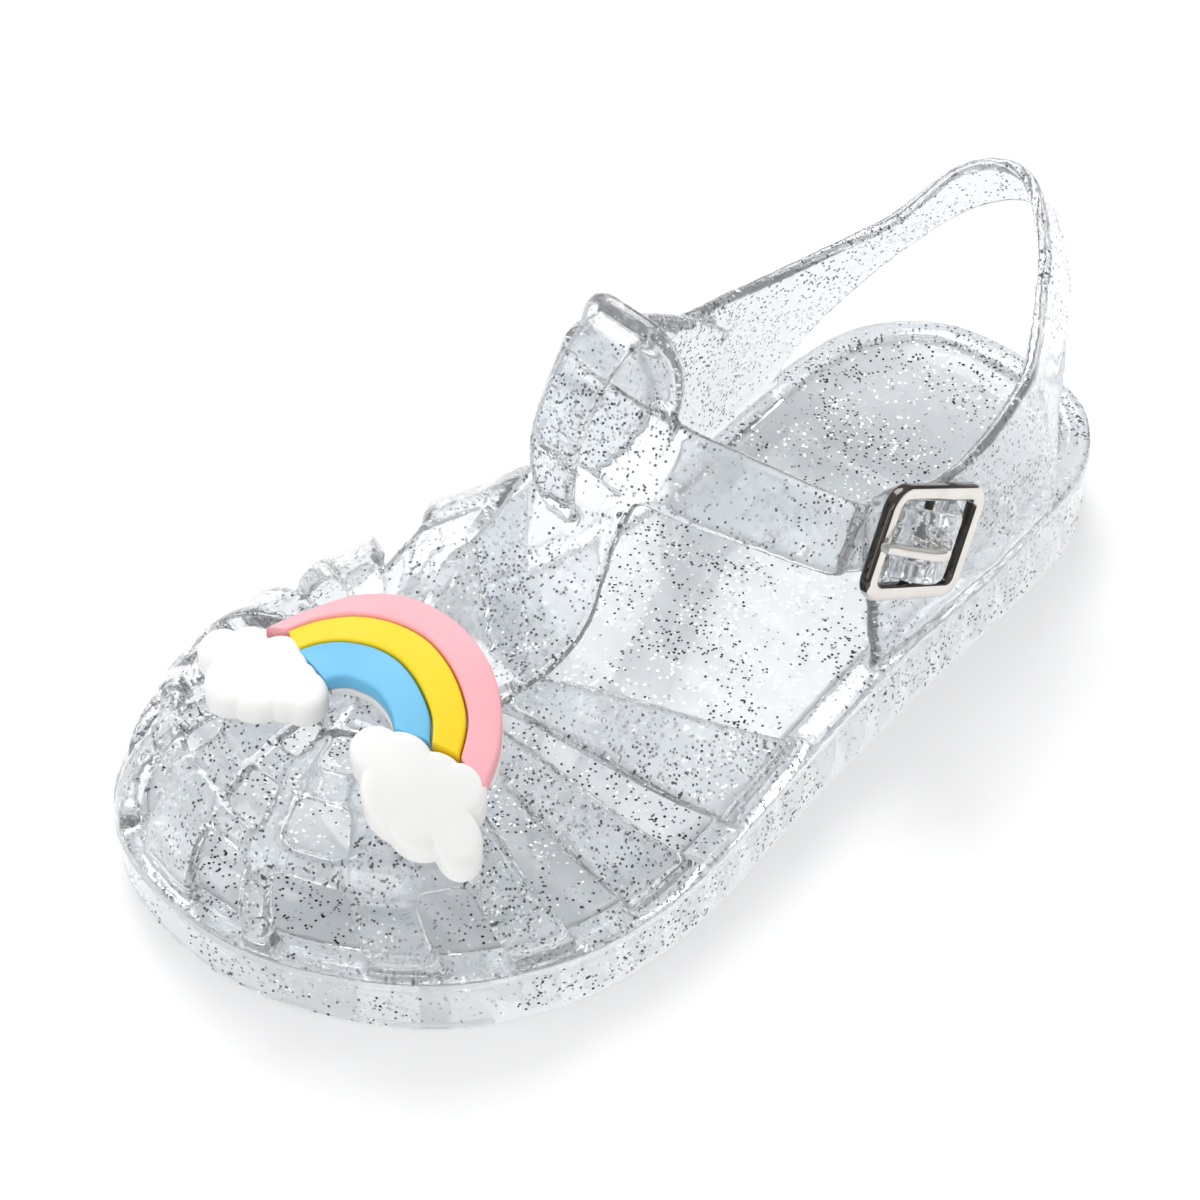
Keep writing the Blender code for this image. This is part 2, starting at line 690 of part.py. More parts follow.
def quarter_band():
    """Both quarters and the heel strap in one sheet. Its table gives the outer face."""
    steps = (len(QUARTER_BAND) - 1) * 2
    rows = 4

    def edge_points(column):
        values = curve_point(QUARTER_BAND, column / 2.0)
        low = Vector((values[0] * BALL_WIDTH, values[1] * LENGTH, values[2] * HEEL_STRAP_HEIGHT))
        high = Vector((values[3] * BALL_WIDTH, values[4] * LENGTH, values[5] * HEEL_STRAP_HEIGHT))
        return low, high

    def place(column, row):
        low, high = edge_points(column)
        return low.lerp(high, row / rows)

    def wall(column, row):
        return WALL

    def far_side(spot):
        """A point outside the shoe, so that the wall grows inward."""
        return Vector((spot.x * 4.0, (spot.y + 0.20 * LENGTH) * 4.0 - 0.20 * LENGTH, spot.z))

    return thick_sheet(steps, rows, place, wall, far_side)


def buckle_point(along, across, out):
    """Point in the buckle's own frame: toward the heel, toward its top side, out of the shoe."""
    heelward, upward, outward = BUCKLE_AXES
    return BUCKLE_PLACE + heelward * along + upward * across + outward * out


def strap_stations():
    """The ankle strap's stations: the free run from the table, then the run through the buckle."""
    stations = []
    for across, along, height, width, side_x, side_y, side_z in ANKLE_STRAP:
        stations.append((across * BALL_WIDTH, along * LENGTH, height * INSTEP_HEIGHT,
                         side_x, side_y, side_z, width * STRAP_WIDTH))
    upward = BUCKLE_AXES[1]
    for along, out, width in STRAP_IN_BUCKLE:
        middle = buckle_point(along * BUCKLE_LENGTH, 0.0, out * STRAP_THICKNESS)
        stations.append((*middle, *upward, width * STRAP_WIDTH))
    return stations


def box_solid(corners):
    shape = bmesh.new()
    verts = [shape.verts.new(corner) for corner in corners]
    bmesh.ops.convex_hull(shape, input=verts)
    return shape


def prong_slot():
    """Cutter for the slot that the prong passes through in the strap."""
    corners = []
    for along in (-SLOT_LENGTH / 2.0, SLOT_LENGTH / 2.0):
        for across in (-SLOT_WIDTH / 2.0, SLOT_WIDTH / 2.0):
            for out in (BAR_RADIUS * 1.45, SLOT_REACH):
                corners.append(buckle_point(along, across, out))
    return box_solid(corners)


def round_section(middle, side_a, side_b, radius, count=10):
    ring = []
    for step in range(count):
        turn = 2.0 * math.pi * step / count
        ring.append(middle + side_a * math.cos(turn) * radius + side_b * math.sin(turn) * radius)
    return ring


def lug_block(across):
    """Moulded lug that holds the buckle's centre bar, before its bore is cut."""
    heelward, upward, outward = BUCKLE_AXES
    rings = []
    for side in (across - LUG_WIDTH / 2.0, across + LUG_WIDTH / 2.0):
        ring = []
        for step in range(9):
            turn = math.pi * step / 8
            ring.append(buckle_point(-math.cos(turn) * LUG_RADIUS, side,
                                     BAR_LEVEL + math.sin(turn) * LUG_RADIUS))
        ring.append(buckle_point(LUG_RADIUS, side, QUARTER_LEVEL - 1.0 * MM))
        ring.append(buckle_point(-LUG_RADIUS, side, QUARTER_LEVEL - 1.0 * MM))
        rings.append(ring)
    return stack_rings(rings)


def bore():
    heelward, upward, outward = BUCKLE_AXES
    radius = BAR_RADIUS + FIT_GAP
    half = LUG_SPREAD + LUG_WIDTH * 0.73
    return stack_rings([
        round_section(buckle_point(0.0, side, BAR_LEVEL), heelward, outward, radius, 16)
        for side in (-half, half)])


def frame_loop():
    """Buckle frame: a rounded bar section taken around a rectangle with round corners."""
    heelward, upward, outward = BUCKLE_AXES
    half_long = (BUCKLE_LENGTH - BUCKLE_BAR) / 2.0
    half_wide = (BUCKLE_WIDTH - BUCKLE_BAR) / 2.0
    radius = BUCKLE_CORNER - BUCKLE_BAR / 2.0
    rings = []
    for number, (side_long, side_wide) in enumerate(((1, 1), (-1, 1), (-1, -1), (1, -1))):
        centre_long = side_long * (half_long - radius)
        centre_wide = side_wide * (half_wide - radius)
        for step in range(5):
            turn = math.pi / 2.0 * (number + step / 4.0)
            away_long = math.cos(turn)
            away_wide = math.sin(turn)
            middle = buckle_point(centre_long + away_long * radius,
                                  centre_wide + away_wide * radius, 0.0)
            away = heelward * away_long + upward * away_wide
            half = BUCKLE_BAR / 2.0
            deep = BUCKLE_DEPTH / 2.0
            section = ((1.0, -0.45), (1.0, 0.45), (0.6, 1.0), (-0.6, 1.0),
                       (-1.0, 0.45), (-1.0, -0.45), (-0.6, -1.0), (0.6, -1.0))
            rings.append([middle + away * half * a + outward * deep * b for a, b in section])
    return close_tube(rings)


def centre_bar():
    heelward, upward, outward = BUCKLE_AXES
    half = BUCKLE_WIDTH / 2.0 - BUCKLE_BAR * 0.6
    return stack_rings([
        round_section(buckle_point(0.0, side, BAR_LEVEL), heelward, outward, BAR_RADIUS, 12)
        for side in (-half, half)])


def prong_collar():
    heelward, upward, outward = BUCKLE_AXES
    inner = BAR_RADIUS + FIT_GAP
    outer = inner + 0.8 * MM
    half = PRONG_WIDTH / 2.0
    rings = []
    for step in range(16):
        turn = 2.0 * math.pi * step / 16
        rings.append([
            buckle_point(math.cos(turn) * size, side, BAR_LEVEL + math.sin(turn) * size)
            for size, side in ((inner, -half), (inner, half), (outer, half), (outer, -half))])
    return close_tube(rings)


def prong_arm():
    heelward, upward, outward = BUCKLE_AXES
    stations = []
    for along, out, width in PRONG_PATH:
        middle = buckle_point(along * BUCKLE_LENGTH, 0.0, out * BUCKLE_LENGTH)
        stations.append((*middle, *upward, width * PRONG_WIDTH))
    return ribbon(stations, PRONG_WIDTH, 16)


def seat_height(across, along):
    """Height of the charm's underside above the toe cage, from a table of heights."""
    columns = len(CHARM_SEAT[0]) - 1
    low, high = SEAT_ACROSS
    column = (across / BALL_WIDTH - low) / (high - low) * (columns - 1)
    steps = [(row[0], number) for number, row in enumerate(CHARM_SEAT)]
    row_place = table_value(steps, along / LENGTH)[0]
    line = [curve_point([(value,) for value in row[1:]], column) for row in CHARM_SEAT]
    return curve_point(line, row_place)[0] * CROWN_HEIGHT


def charm_layer(columns, rows, plan, lift, thickness, wrap=False):
    """Part of the charm: a plan laid on the seat, with an even thickness."""
    def place(column, row):
        spot = plan(column / columns, row / rows)
        return Vector((spot.x, spot.y, seat_height(spot.x, spot.y) + lift))

    def wall(column, row):
        return thickness

    return thick_sheet(columns, rows, place, wall, wrap=wrap)


def rainbow_plan(outer, inner, trim, start=0.0, end=1.0):
    """Band of the rainbow between two of its edges, each drawn in by a trim."""
    def plan(turn_share, width_share):
        place = blend(start, end, turn_share) * (len(RAINBOW_EDGES) - 1)
        values = curve_point(RAINBOW_EDGES, place)
        first = Vector((values[2 * outer] * BALL_WIDTH, values[2 * outer + 1] * LENGTH))
        last = Vector((values[2 * inner] * BALL_WIDTH, values[2 * inner + 1] * LENGTH))
        across = (last - first).normalized()
        return (first + across * trim).lerp(last - across * trim, width_share)

    return plan


def cloud_plan(rows):
    """A cloud's outline from its table, filled in to its middle."""
    points = [Vector((across * BALL_WIDTH, along * LENGTH)) for across, along in rows]
    middle = sum(points, Vector((0.0, 0.0))) / len(points)

    def plan(turn_share, width_share):
        edge = Vector(curve_point([tuple(p) for p in points], turn_share * len(points), closed=True))
        return middle.lerp(edge, width_share)

    return plan


def make_charm():
    """Soft rubber rainbow with a cloud at each end, on a thin white base."""
    white = material("charm_white", (0.93, 0.93, 0.92), 0.45)
    lift = CHARM_BASE + FIT_GAP
    base = charm_layer(32, 3, rainbow_plan(0, 3, 0.0, 0.06, 0.94), 0.0, CHARM_BASE)
    add_object("charm_base", base, white)
    colours = (("charm_pink", (0.98, 0.49, 0.54)), ("charm_yellow", (1.0, 0.70, 0.02)),
               ("charm_blue", (0.17, 0.55, 0.84)))
    for number, (name, colour) in enumerate(colours):
        plan = rainbow_plan(number, number + 1, FIT_GAP / 2.0)
        band = charm_layer(28, 1, plan, lift, BAND_HEIGHT)
        add_object(name, band, material(name, colour, 0.45))
    for name, rows in (("charm_cloud_toe", CLOUD_INNER), ("charm_cloud_side", CLOUD_OUTER)):
        cloud = charm_layer(len(rows), 2, cloud_plan(rows), 0.0, CLOUD_HEIGHT, wrap=True)
        add_object(name, cloud, white)


def main():
    clear_scene()
    jelly = material("clear_jelly", (0.86, 0.89, 0.91), 0.12)
    make_outsole(jelly)
    make_insole(material("clear_footbed", (0.84, 0.87, 0.89), 0.25))
    upper = add_object("upper", rim_solid(), material("clear_upper", (0.88, 0.91, 0.93), 0.10))
    combine(upper, helper("cage", make_cage()), "UNION")
    combine(upper, helper("t_bar", ribbon(t_bar_stations(), WALL, 26)), "UNION")
    combine(upper, helper("loop", ribbon(loop_stations(), STRAP_THICKNESS, 14)), "UNION")
    combine(upper, helper("quarters", quarter_band()), "UNION")
    combine(upper, helper("outer_lug", lug_block(-LUG_SPREAD)), "UNION")
    combine(upper, helper("inner_lug", lug_block(LUG_SPREAD)), "UNION")
    combine(upper, helper("lug_bore", bore()), "DIFFERENCE")
    combine(upper, helper("ankle_strap", ribbon(strap_stations(), STRAP_THICKNESS, 60)), "UNION")
    combine(upper, helper("slot_cutter", prong_slot()), "DIFFERENCE")
    nickel = material("nickel", (0.72, 0.70, 0.67), 0.18, metallic=1.0)
    frame = add_object("buckle_frame", frame_loop(), nickel)
    combine(frame, helper("centre_bar", centre_bar()), "UNION")
    prong = add_object("buckle_prong", prong_collar(), nickel)
    combine(prong, helper("prong_arm", prong_arm()), "UNION")
    make_charm()


main()
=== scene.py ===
# %% [markdown]
# A child's jelly sandal, the left one, moulded in clear plastic with glitter in it. This notebook
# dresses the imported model: it builds each visible piece at its final fineness, gives it a finish made of
# nodes, and sets up the floor, the light and the camera.
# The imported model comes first, because every piece is built in its place, in metres.

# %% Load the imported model
import bisect
import math
import random

import bmesh
import bpy
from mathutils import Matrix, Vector, noise


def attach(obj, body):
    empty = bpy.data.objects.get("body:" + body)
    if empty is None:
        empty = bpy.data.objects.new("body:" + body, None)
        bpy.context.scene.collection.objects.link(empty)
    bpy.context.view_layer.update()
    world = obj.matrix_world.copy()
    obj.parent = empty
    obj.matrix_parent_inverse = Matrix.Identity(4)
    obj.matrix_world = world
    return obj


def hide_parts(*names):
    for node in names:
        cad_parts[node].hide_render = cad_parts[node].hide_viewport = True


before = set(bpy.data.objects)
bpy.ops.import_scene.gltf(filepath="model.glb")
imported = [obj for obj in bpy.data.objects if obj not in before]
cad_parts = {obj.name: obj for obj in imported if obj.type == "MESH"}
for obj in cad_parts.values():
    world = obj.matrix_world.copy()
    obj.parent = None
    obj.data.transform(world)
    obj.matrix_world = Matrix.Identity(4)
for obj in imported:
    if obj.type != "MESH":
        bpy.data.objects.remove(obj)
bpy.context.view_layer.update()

print("nodes:", ", ".join(sorted(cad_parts)))

# %% [markdown]
# The sandal is drawn with a few named sizes and some tables. A table gives places as shares of a size, so
# that it stays right when the size changes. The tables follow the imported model, row by row.

# %% Sizes of the sandal
MM = 0.001
LENGTH = 157.0 * MM
BALL_WIDTH = 72.6 * MM
HEEL_HEIGHT = 14.2 * MM
FOREFOOT_HEIGHT = 10.7 * MM
TOE_SPRING = 1.2 * MM
FIT_GAP = 0.3 * MM
RIM_THICKNESS = 2.0 * MM
RIM_WIDTH = 4.6 * MM
LEDGE = 1.0 * MM
WALL = 2.0 * MM
STRAP_THICKNESS = 1.8 * MM
STRIP_RELIEF = 0.9 * MM
STRAP_WIDTH = 13.0 * MM
CROWN_HEIGHT = 34.0 * MM
CROWN = Vector((3.0 * MM, 46.0 * MM))
INSTEP_HEIGHT = 71.5 * MM
T_BAR_WIDTH = 18.0 * MM
HEEL_STRAP_HEIGHT = 53.0 * MM
print("length", LENGTH, "m, width", BALL_WIDTH, "m")

# %% [markdown]
# Most outlines here are smooth curves through the rows of a table. A Catmull-Rom curve passes through
# every row and bends evenly between them, so that a short table is enough for a long curve.

# %% Curves through tables
def blend(a, b, share):
    return a + (b - a) * share


def smooth_share(value, low, high):
    share = min(max((value - low) / (high - low), 0.0), 1.0)
    return share * share * (3.0 - 2.0 * share)


def curve_point(rows, place, closed=False):
    """Point of the smooth curve through the rows, at a place counted in rows."""
    count = len(rows)
    start = math.floor(place) if closed else min(max(math.floor(place), 0), count - 2)
    part = place - start
    picks = []
    for step in (-1, 0, 1, 2):
        index = start + step
        picks.append(rows[index % count] if closed else rows[min(max(index, 0), count - 1)])
    return [0.5 * (2.0 * b + (c - a) * part + (2.0 * a - 5.0 * b + 4.0 * c - d) * part ** 2
                   + (3.0 * b - a - 3.0 * c + d) * part ** 3) for a, b, c, d in zip(*picks)]


def row_of(rows, key):
    """Place, counted in rows, at which the first column of a table reaches a key."""
    for number, (low, high) in enumerate(zip(rows, rows[1:])):
        if key <= high[0]:
            return number + max(key - low[0], 0.0) / (high[0] - low[0])
    return len(rows) - 1.0


# %% [markdown]
# The outline of the sole is the one curve that everything else stands on: the sole, the rim, the footbed
# and the strips of the toe. A share of 0 is the middle of the heel, and the shares run over the outer side
# to the toe and back over the inner side, evenly along the edge.

# %% Outline of the sole
OUTLINE = [
    # across / BALL_WIDTH, along / LENGTH
    (0.036, -0.500), (-0.145, -0.487), (-0.269, -0.424), (-0.322, -0.324),
    (-0.358, -0.196), (-0.398, -0.076), (-0.435, 0.019), (-0.482, 0.127),
    (-0.500, 0.218), (-0.464, 0.313), (-0.337, 0.409), (-0.110, 0.481),
    (0.110, 0.500), (0.331, 0.478), (0.468, 0.409), (0.500, 0.313),
    (0.461, 0.218), (0.393, 0.122), (0.317, 0.000), (0.293, -0.101),
    (0.314, -0.196), (0.350, -0.324), (0.336, -0.419), (0.220, -0.483),
]
STEPS_PER_ROW = 40


def measure_outline():
    dense = []
    for step in range(len(OUTLINE) * STEPS_PER_ROW):
        across, along = curve_point(OUTLINE, step / STEPS_PER_ROW, closed=True)
        dense.append(Vector((across * BALL_WIDTH, along * LENGTH)))
    middle = Vector([(min(p[axis] for p in dense) + max(p[axis] for p in dense)) / 2.0
                     for axis in (0, 1)])
    dense = [p - middle for p in dense]
    lengths = [0.0]
    for index in range(len(dense)):
        lengths.append(lengths[-1] + (dense[(index + 1) % len(dense)] - dense[index]).length)
    return dense, lengths


DENSE_OUTLINE, OUTLINE_LENGTHS = measure_outline()


def outline_at(share):
    """Point on the sole's outline and the direction that points out of the sole there."""
    target = (share % 1.0) * OUTLINE_LENGTHS[-1]
    low = max(bisect.bisect_right(OUTLINE_LENGTHS, target) - 1, 0)
    count = len(DENSE_OUTLINE)
    part = (target - OUTLINE_LENGTHS[low]) / (OUTLINE_LENGTHS[low + 1] - OUTLINE_LENGTHS[low])
    ahead = DENSE_OUTLINE[(low + 6) % count] - DENSE_OUTLINE[(low - 5) % count]
    place = DENSE_OUTLINE[low].lerp(DENSE_OUTLINE[(low + 1) % count], part)
    return place, Vector((-ahead.y, ahead.x)).normalized()


def sole_top(along):
    return blend(HEEL_HEIGHT, FOREFOOT_HEIGHT, smooth_share(along / LENGTH, -0.26, 0.24))


def sole_bottom(along):
    return TOE_SPRING * smooth_share(along / LENGTH, 0.36, 0.52) ** 2


print("edge of the sole:", round(1000.0 * OUTLINE_LENGTHS[-1], 1), "mm around")

# %% [markdown]
# Nearly every form here is a sheet: a grid whose points are moved onto a surface. When its first and
# last columns meet, they are merged and it becomes a tube or a closed shell. A grid keeps the faces even
# and four-sided, which clear plastic needs, because it shows every uneven face as a ripple.

# %% Sheets and shells
STEPS_AROUND = 288
MERGE_DISTANCE = 0.004 * MM
BAND_ROUND = 0.55 * MM


def grid_on(columns, rows, place):
    """Grid with its points moved onto a surface, its touching edges merged and its faces turned out."""
    shape = bmesh.new()
    bmesh.ops.create_grid(shape, x_segments=columns, y_segments=rows, size=1.0)
    for vert in shape.verts:
        column = round((vert.co.x + 1.0) / 2.0 * columns)
        row = round((vert.co.y + 1.0) / 2.0 * rows)
        vert.co = place(column, row)
    bmesh.ops.remove_doubles(shape, verts=shape.verts[:], dist=MERGE_DISTANCE)
    bmesh.ops.recalc_face_normals(shape, faces=shape.faces[:])
    return shape


def plate_on_outline(profile, steps=STEPS_AROUND):
    """Closed plate with the sole's outline. The profile gives an inset and a height function."""
    rings = []
    for inset, height_of in profile:
        ring = []
        for step in range(steps):
            place, outward = outline_at(step / steps)
            spot = place - outward * inset
            ring.append(Vector((spot.x, spot.y, height_of(spot.y))))
        rings.append(ring)

    def place(column, row):
        column %= steps
        if row == 0 or row == len(rings) + 1:
            ring = rings[0 if row == 0 else -1]
            return (ring[column] + ring[-column % steps]) / 2.0
        return rings[row - 1][column]

    return grid_on(steps, len(rings) + 1, place)


def round_edge(radius, steps):
    """Quarter circle, as pairs of the way in from the side and the way down from the top."""
    turns = [math.pi / 2.0 * step / steps for step in range(steps + 1)]
    return [(radius * (1.0 - math.cos(turn)), radius * (1.0 - math.sin(turn))) for turn in turns]


def corner_walk(steps):
    """Walk around four round corners: the two signs of each corner, and the direction out of it."""
    for number, (side, face) in enumerate(((1, 1), (-1, 1), (-1, -1), (1, -1))):
        for step in range(steps + 1):
            turn = math.pi / 2.0 * (number + step / steps)
            yield side, face, math.cos(turn), math.sin(turn)


def rounded_section(half_wide, half_deep, corner, steps=3):
    """Points around a rectangle with round corners, as pairs of across and out."""
    return [(side * (half_wide - corner) + x * corner, face * (half_deep - corner) + y * corner)
            for side, face, x, y in corner_walk(steps)]


def ribbon(stations, thickness, steps, corner=BAND_ROUND):
    """Band with round edges along a route. A station is a middle, a width direction and a width."""
    last = len(stations) - 1
    frames = []
    for step in range(steps + 1):
        place = step / steps * last
        values = curve_point(stations, place)
        ahead = Vector(curve_point(stations, min(place + 0.02, last))[:3])
        behind = Vector(curve_point(stations, max(place - 0.02, 0.0))[:3])
        forward = (ahead - behind).normalized()
        side = Vector(values[3:6])
        side = (side - forward * side.dot(forward)).normalized()
        section = rounded_section(values[6] / 2.0, thickness / 2.0, corner)
        frames.append((Vector(values[:3]), side, side.cross(forward).normalized(), section))
    corners = len(frames[0][3])

    def place(column, row):
        middle, side, out, section = frames[min(max(row - 1, 0), steps)]
        across, deep = section[column % corners]
        if row == 0 or row == steps + 2:
            return middle
        return middle + side * across + out * deep

    return grid_on(corners, steps + 2, place)


# %% [markdown]
# A finished piece becomes an object that sits at the origin with its place in its mesh, as the packed
# model's own nodes do. It rides on the body, and the node of the imported model that it stands for is
# hidden.

# %% From a shape to a piece
def mesh_of(name, shape):
    mesh = bpy.data.meshes.new(name)
    shape.to_mesh(mesh)
    shape.free()
    return mesh


def add_object(name, data):
    thing = bpy.data.objects.new(name, data)
    bpy.context.scene.collection.objects.link(thing)
    return thing


def piece(name, shape, stands_for=(), smooth_angle=40.0):
    """Object for one visible piece, with smooth faces up to an angle in degrees."""
    mesh = mesh_of(name, shape)
    mesh.shade_smooth()
    mesh.set_sharp_from_angle(angle=math.radians(smooth_angle))
    thing = add_object(name, mesh)
    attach(thing, "root")
    if stands_for:
        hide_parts(*stands_for)
    return thing


def apply_step(thing, kind, **settings):
    """Adds a modifier and makes its result the mesh."""
    step = thing.modifiers.new(kind.lower(), kind)
    for name, value in settings.items():
        setattr(step, name, value)
    graph = bpy.context.evaluated_depsgraph_get()
    mesh = bpy.data.meshes.new_from_object(thing.evaluated_get(graph))
    thing.modifiers.clear()
    old = thing.data
    thing.data = mesh
    bpy.data.meshes.remove(old)


def cut_shape(shape, cutter):
    """Takes one closed shape out of another, with a Boolean modifier."""
    things = [add_object(name, mesh_of(name, part)) for name, part in (("whole", shape), ("cutter", cutter))]
    apply_step(things[0], "BOOLEAN", operation="DIFFERENCE", solver="EXACT", object=things[1])
    result = bmesh.new()
    result.from_mesh(things[0].data)
    for thing in things:
        mesh = thing.data
        bpy.data.objects.remove(thing)
        bpy.data.meshes.remove(mesh)
    return result


def triangles(thing):
    return sum(len(face.vertices) - 2 for face in thing.data.polygons)


# %% [markdown]
# The sole is one clear block. Its side wall leans a little, its lower edge is rounded, and a fine line
# runs just above the floor, where the two halves of the mould met. The underside has a row of open pockets
# across it, which show through the side as darker bands. The block is a plate on the outline, and the
# pockets are cut from it with one Boolean step, because they share no edges with the wall.

# %% Sole
SOLE_DRAFT = 0.5 * MM
POCKET_PITCH = 7.6 * MM
POCKET_WIDTH = 5.0 * MM
POCKET_ROOF = 3.0 * MM
POCKET_ROUND = 0.7 * MM
POCKET_DROP = 1.0 * MM
RIM_WALL = 3.4 * MM
LOWER_ROUND = 0.55 * MM
UPPER_ROUND = 0.30 * MM
SEAM_HEIGHT = 1.08 * MM
SEAM_DEPTH = 0.14 * MM
SEAM_REACH = 0.13 * MM
WALL_START = 1.5 * MM


def above_floor(lift):
    return lambda along: sole_bottom(along) + lift


def below_rim(drop, share=1.0):
    def height(along):
        low = sole_bottom(along) + WALL_START
        return blend(low, sole_top(along) - RIM_THICKNESS - FIT_GAP - drop, share)
    return height


sole_profile = [(6.0 * MM, above_floor(0.0)), (2.0 * MM, above_floor(0.0))]
sole_profile += [(SOLE_DRAFT + inset, above_floor(lift)) for lift, inset in round_edge(LOWER_ROUND, 4)]
sole_profile += [(SOLE_DRAFT, above_floor(SEAM_HEIGHT - SEAM_REACH)),
                 (SOLE_DRAFT + SEAM_DEPTH, above_floor(SEAM_HEIGHT)),
                 (SOLE_DRAFT, above_floor(SEAM_HEIGHT + SEAM_REACH))]
sole_profile += [(SOLE_DRAFT * (1.0 - step / 5.0), below_rim(UPPER_ROUND, step / 5.0))
                 for step in range(1, 6)]
sole_profile += [(inset, below_rim(drop)) for inset, drop in round_edge(UPPER_ROUND, 3)[1:]]
sole_profile.append((4.0 * MM, below_rim(0.0)))

EDGE_STEPS = 2 * STEPS_AROUND
EDGE_POINTS = [outline_at(step / EDGE_STEPS) for step in range(EDGE_STEPS)]


def side_limits(along, inset):
    """Where the sole's edge, drawn in by an inset, lies to the left and to the right."""
    left = right = 0.0
    points = [place - outward * inset for place, outward in EDGE_POINTS]
    for start, end in zip(points, points[1:] + points[:1]):
        if (start.y - along) * (end.y - along) <= 0.0 and start.y != end.y:
            across = blend(start.x, end.x, (along - start.y) / (end.y - start.y))
            left = min(left, across)
            right = max(right, across)
    return left, right


def pocket_blocks():
    """Row of blocks, each a cube moved onto its pocket and rounded along its edges."""
    blocks = bmesh.new()
    count = int((LENGTH - 4.0 * RIM_WALL) / POCKET_PITCH)
    for number in range(count):
        middle = (number - (count - 1) / 2.0) * POCKET_PITCH
        ceiling = sole_top(middle) - RIM_THICKNESS - FIT_GAP - POCKET_ROOF
        block = bmesh.ops.create_cube(blocks, size=2.0)["verts"]
        for vert in block:
            along = middle + vert.co.y * POCKET_WIDTH / 2.0
            left, right = side_limits(along, RIM_WALL)
            vert.co = Vector((left if vert.co.x < 0.0 else right, along,
                              -POCKET_DROP if vert.co.z < 0.0 else ceiling))
        edges = list({edge for vert in block for edge in vert.link_edges})
        bmesh.ops.bevel(blocks, geom=edges, offset=POCKET_ROUND, offset_type="OFFSET", affect="EDGES",
                        segments=3, profile=0.5, material=-1)
    return blocks, count


pocket_shape, pocket_count = pocket_blocks()
sole_shape = cut_shape(plate_on_outline(sole_profile), pocket_shape)
sole = piece("clear_sole", sole_shape, ("outsole",), 32.0)
print("sole:", triangles(sole), "triangles,", pocket_count, "pockets")

# %% [markdown]
# The footbed is a clear plate inside the rim, with a round edge and a shallow cup at the heel. The
# profile walks in from its lower edge over the round edge to the cup.

# %% Footbed
INSOLE_TOP = 1.7 * MM
HEEL_CUP_DEPTH = 0.8 * MM
FOOTBED_ROUND = 0.6 * MM
FOOTBED_INSET = RIM_WIDTH - 0.05 * MM
CUP_START = FOOTBED_INSET + 0.8 * MM
CUP_END = FOOTBED_INSET + 4.8 * MM


def footbed_height(rise, cup=0.0):
    def height(along):
        dip = cup * HEEL_CUP_DEPTH * (1.0 - smooth_share(along / LENGTH, -0.25, -0.05))
        return sole_top(along) - RIM_THICKNESS + rise - dip
    return height


footbed_profile = [(FOOTBED_INSET + 4.0 * MM, footbed_height(0.0)), (FOOTBED_INSET, footbed_height(0.0))]
footbed_profile += [(FOOTBED_INSET + inset, footbed_height(INSOLE_TOP - drop))
                    for inset, drop in round_edge(FOOTBED_ROUND, 4)]
footbed_profile += [(blend(CUP_START, CUP_END, step / 8.0),
                     footbed_height(INSOLE_TOP, smooth_share(step / 8.0, 0.0, 1.0)))
                    for step in range(1, 9)]
footbed = piece("clear_footbed", plate_on_outline(footbed_profile), ("insole",), 50.0)
print("footbed:", triangles(footbed), "triangles")

# %% [markdown]
# The upper starts with its rim, a flat ring on the sole with round edges. It is a tube: a rounded
# section carried around the outline.

# %% Rim of the upper
RIM_ROUND = 0.45 * MM


def rim_shape():
    section = rounded_section(RIM_WIDTH / 2.0, RIM_THICKNESS / 2.0, RIM_ROUND)

    def place(column, row):
        across, out = section[row % len(section)]
        edge, outward = outline_at(column / STEPS_AROUND)
        spot = edge + outward * (across - RIM_WIDTH / 2.0)
        return Vector((spot.x, spot.y, sole_top(spot.y) - RIM_THICKNESS / 2.0 + out))

    return grid_on(STEPS_AROUND, len(section), place)


rim = rim_shape()
print("rim:", len(rim.faces), "faces")

# %% [markdown]
# The toe cage is a dome of broad strips with gaps between them, and two hoops are woven across it. A
# dome like this is a superellipse in each direction, low and steep at the sole and flat at the crown. Two
# tables say where the strips stand and how full the dome is there.

# %% Dome of the toe cage
STRIPS = [
    # from, to, as shares of the outline, and whether the hoops pass over the strip
    (0.240, 0.285, False), (0.304, 0.336, False), (0.357, 0.383, False), (0.404, 0.432, True),
    (0.464, 0.477, False), (0.500, 0.532, True), (0.544, 0.556, False), (0.574, 0.594, True),
    (0.612, 0.638, False), (0.656, 0.684, False), (0.702, 0.750, False),
]
HOOPS = [(0.36, 0.46, 2, 8), (0.60, 0.70, 3, 7)]  # way up from, to, first and last strip
CLOSED_FROM = 0.80
REAR_FROM = 0.68
CAGE_CURVE = [
    # share, fullness of the curve, lift / CROWN_HEIGHT, forward sweep / LENGTH
    (0.240, 1.60, 0.03, 0.044), (0.300, 1.65, 0.02, 0.040), (0.340, 1.75, 0.00, 0.036),
    (0.430, 2.10, 0.00, 0.030), (0.480, 2.25, 0.00, 0.016), (0.530, 2.40, 0.00, 0.000),
    (0.580, 2.40, 0.00, -0.010), (0.630, 2.50, 0.02, -0.020), (0.680, 2.80, 0.06, -0.034),
    (0.700, 3.60, 0.12, -0.046), (0.750, 4.00, 0.12, -0.050),
]


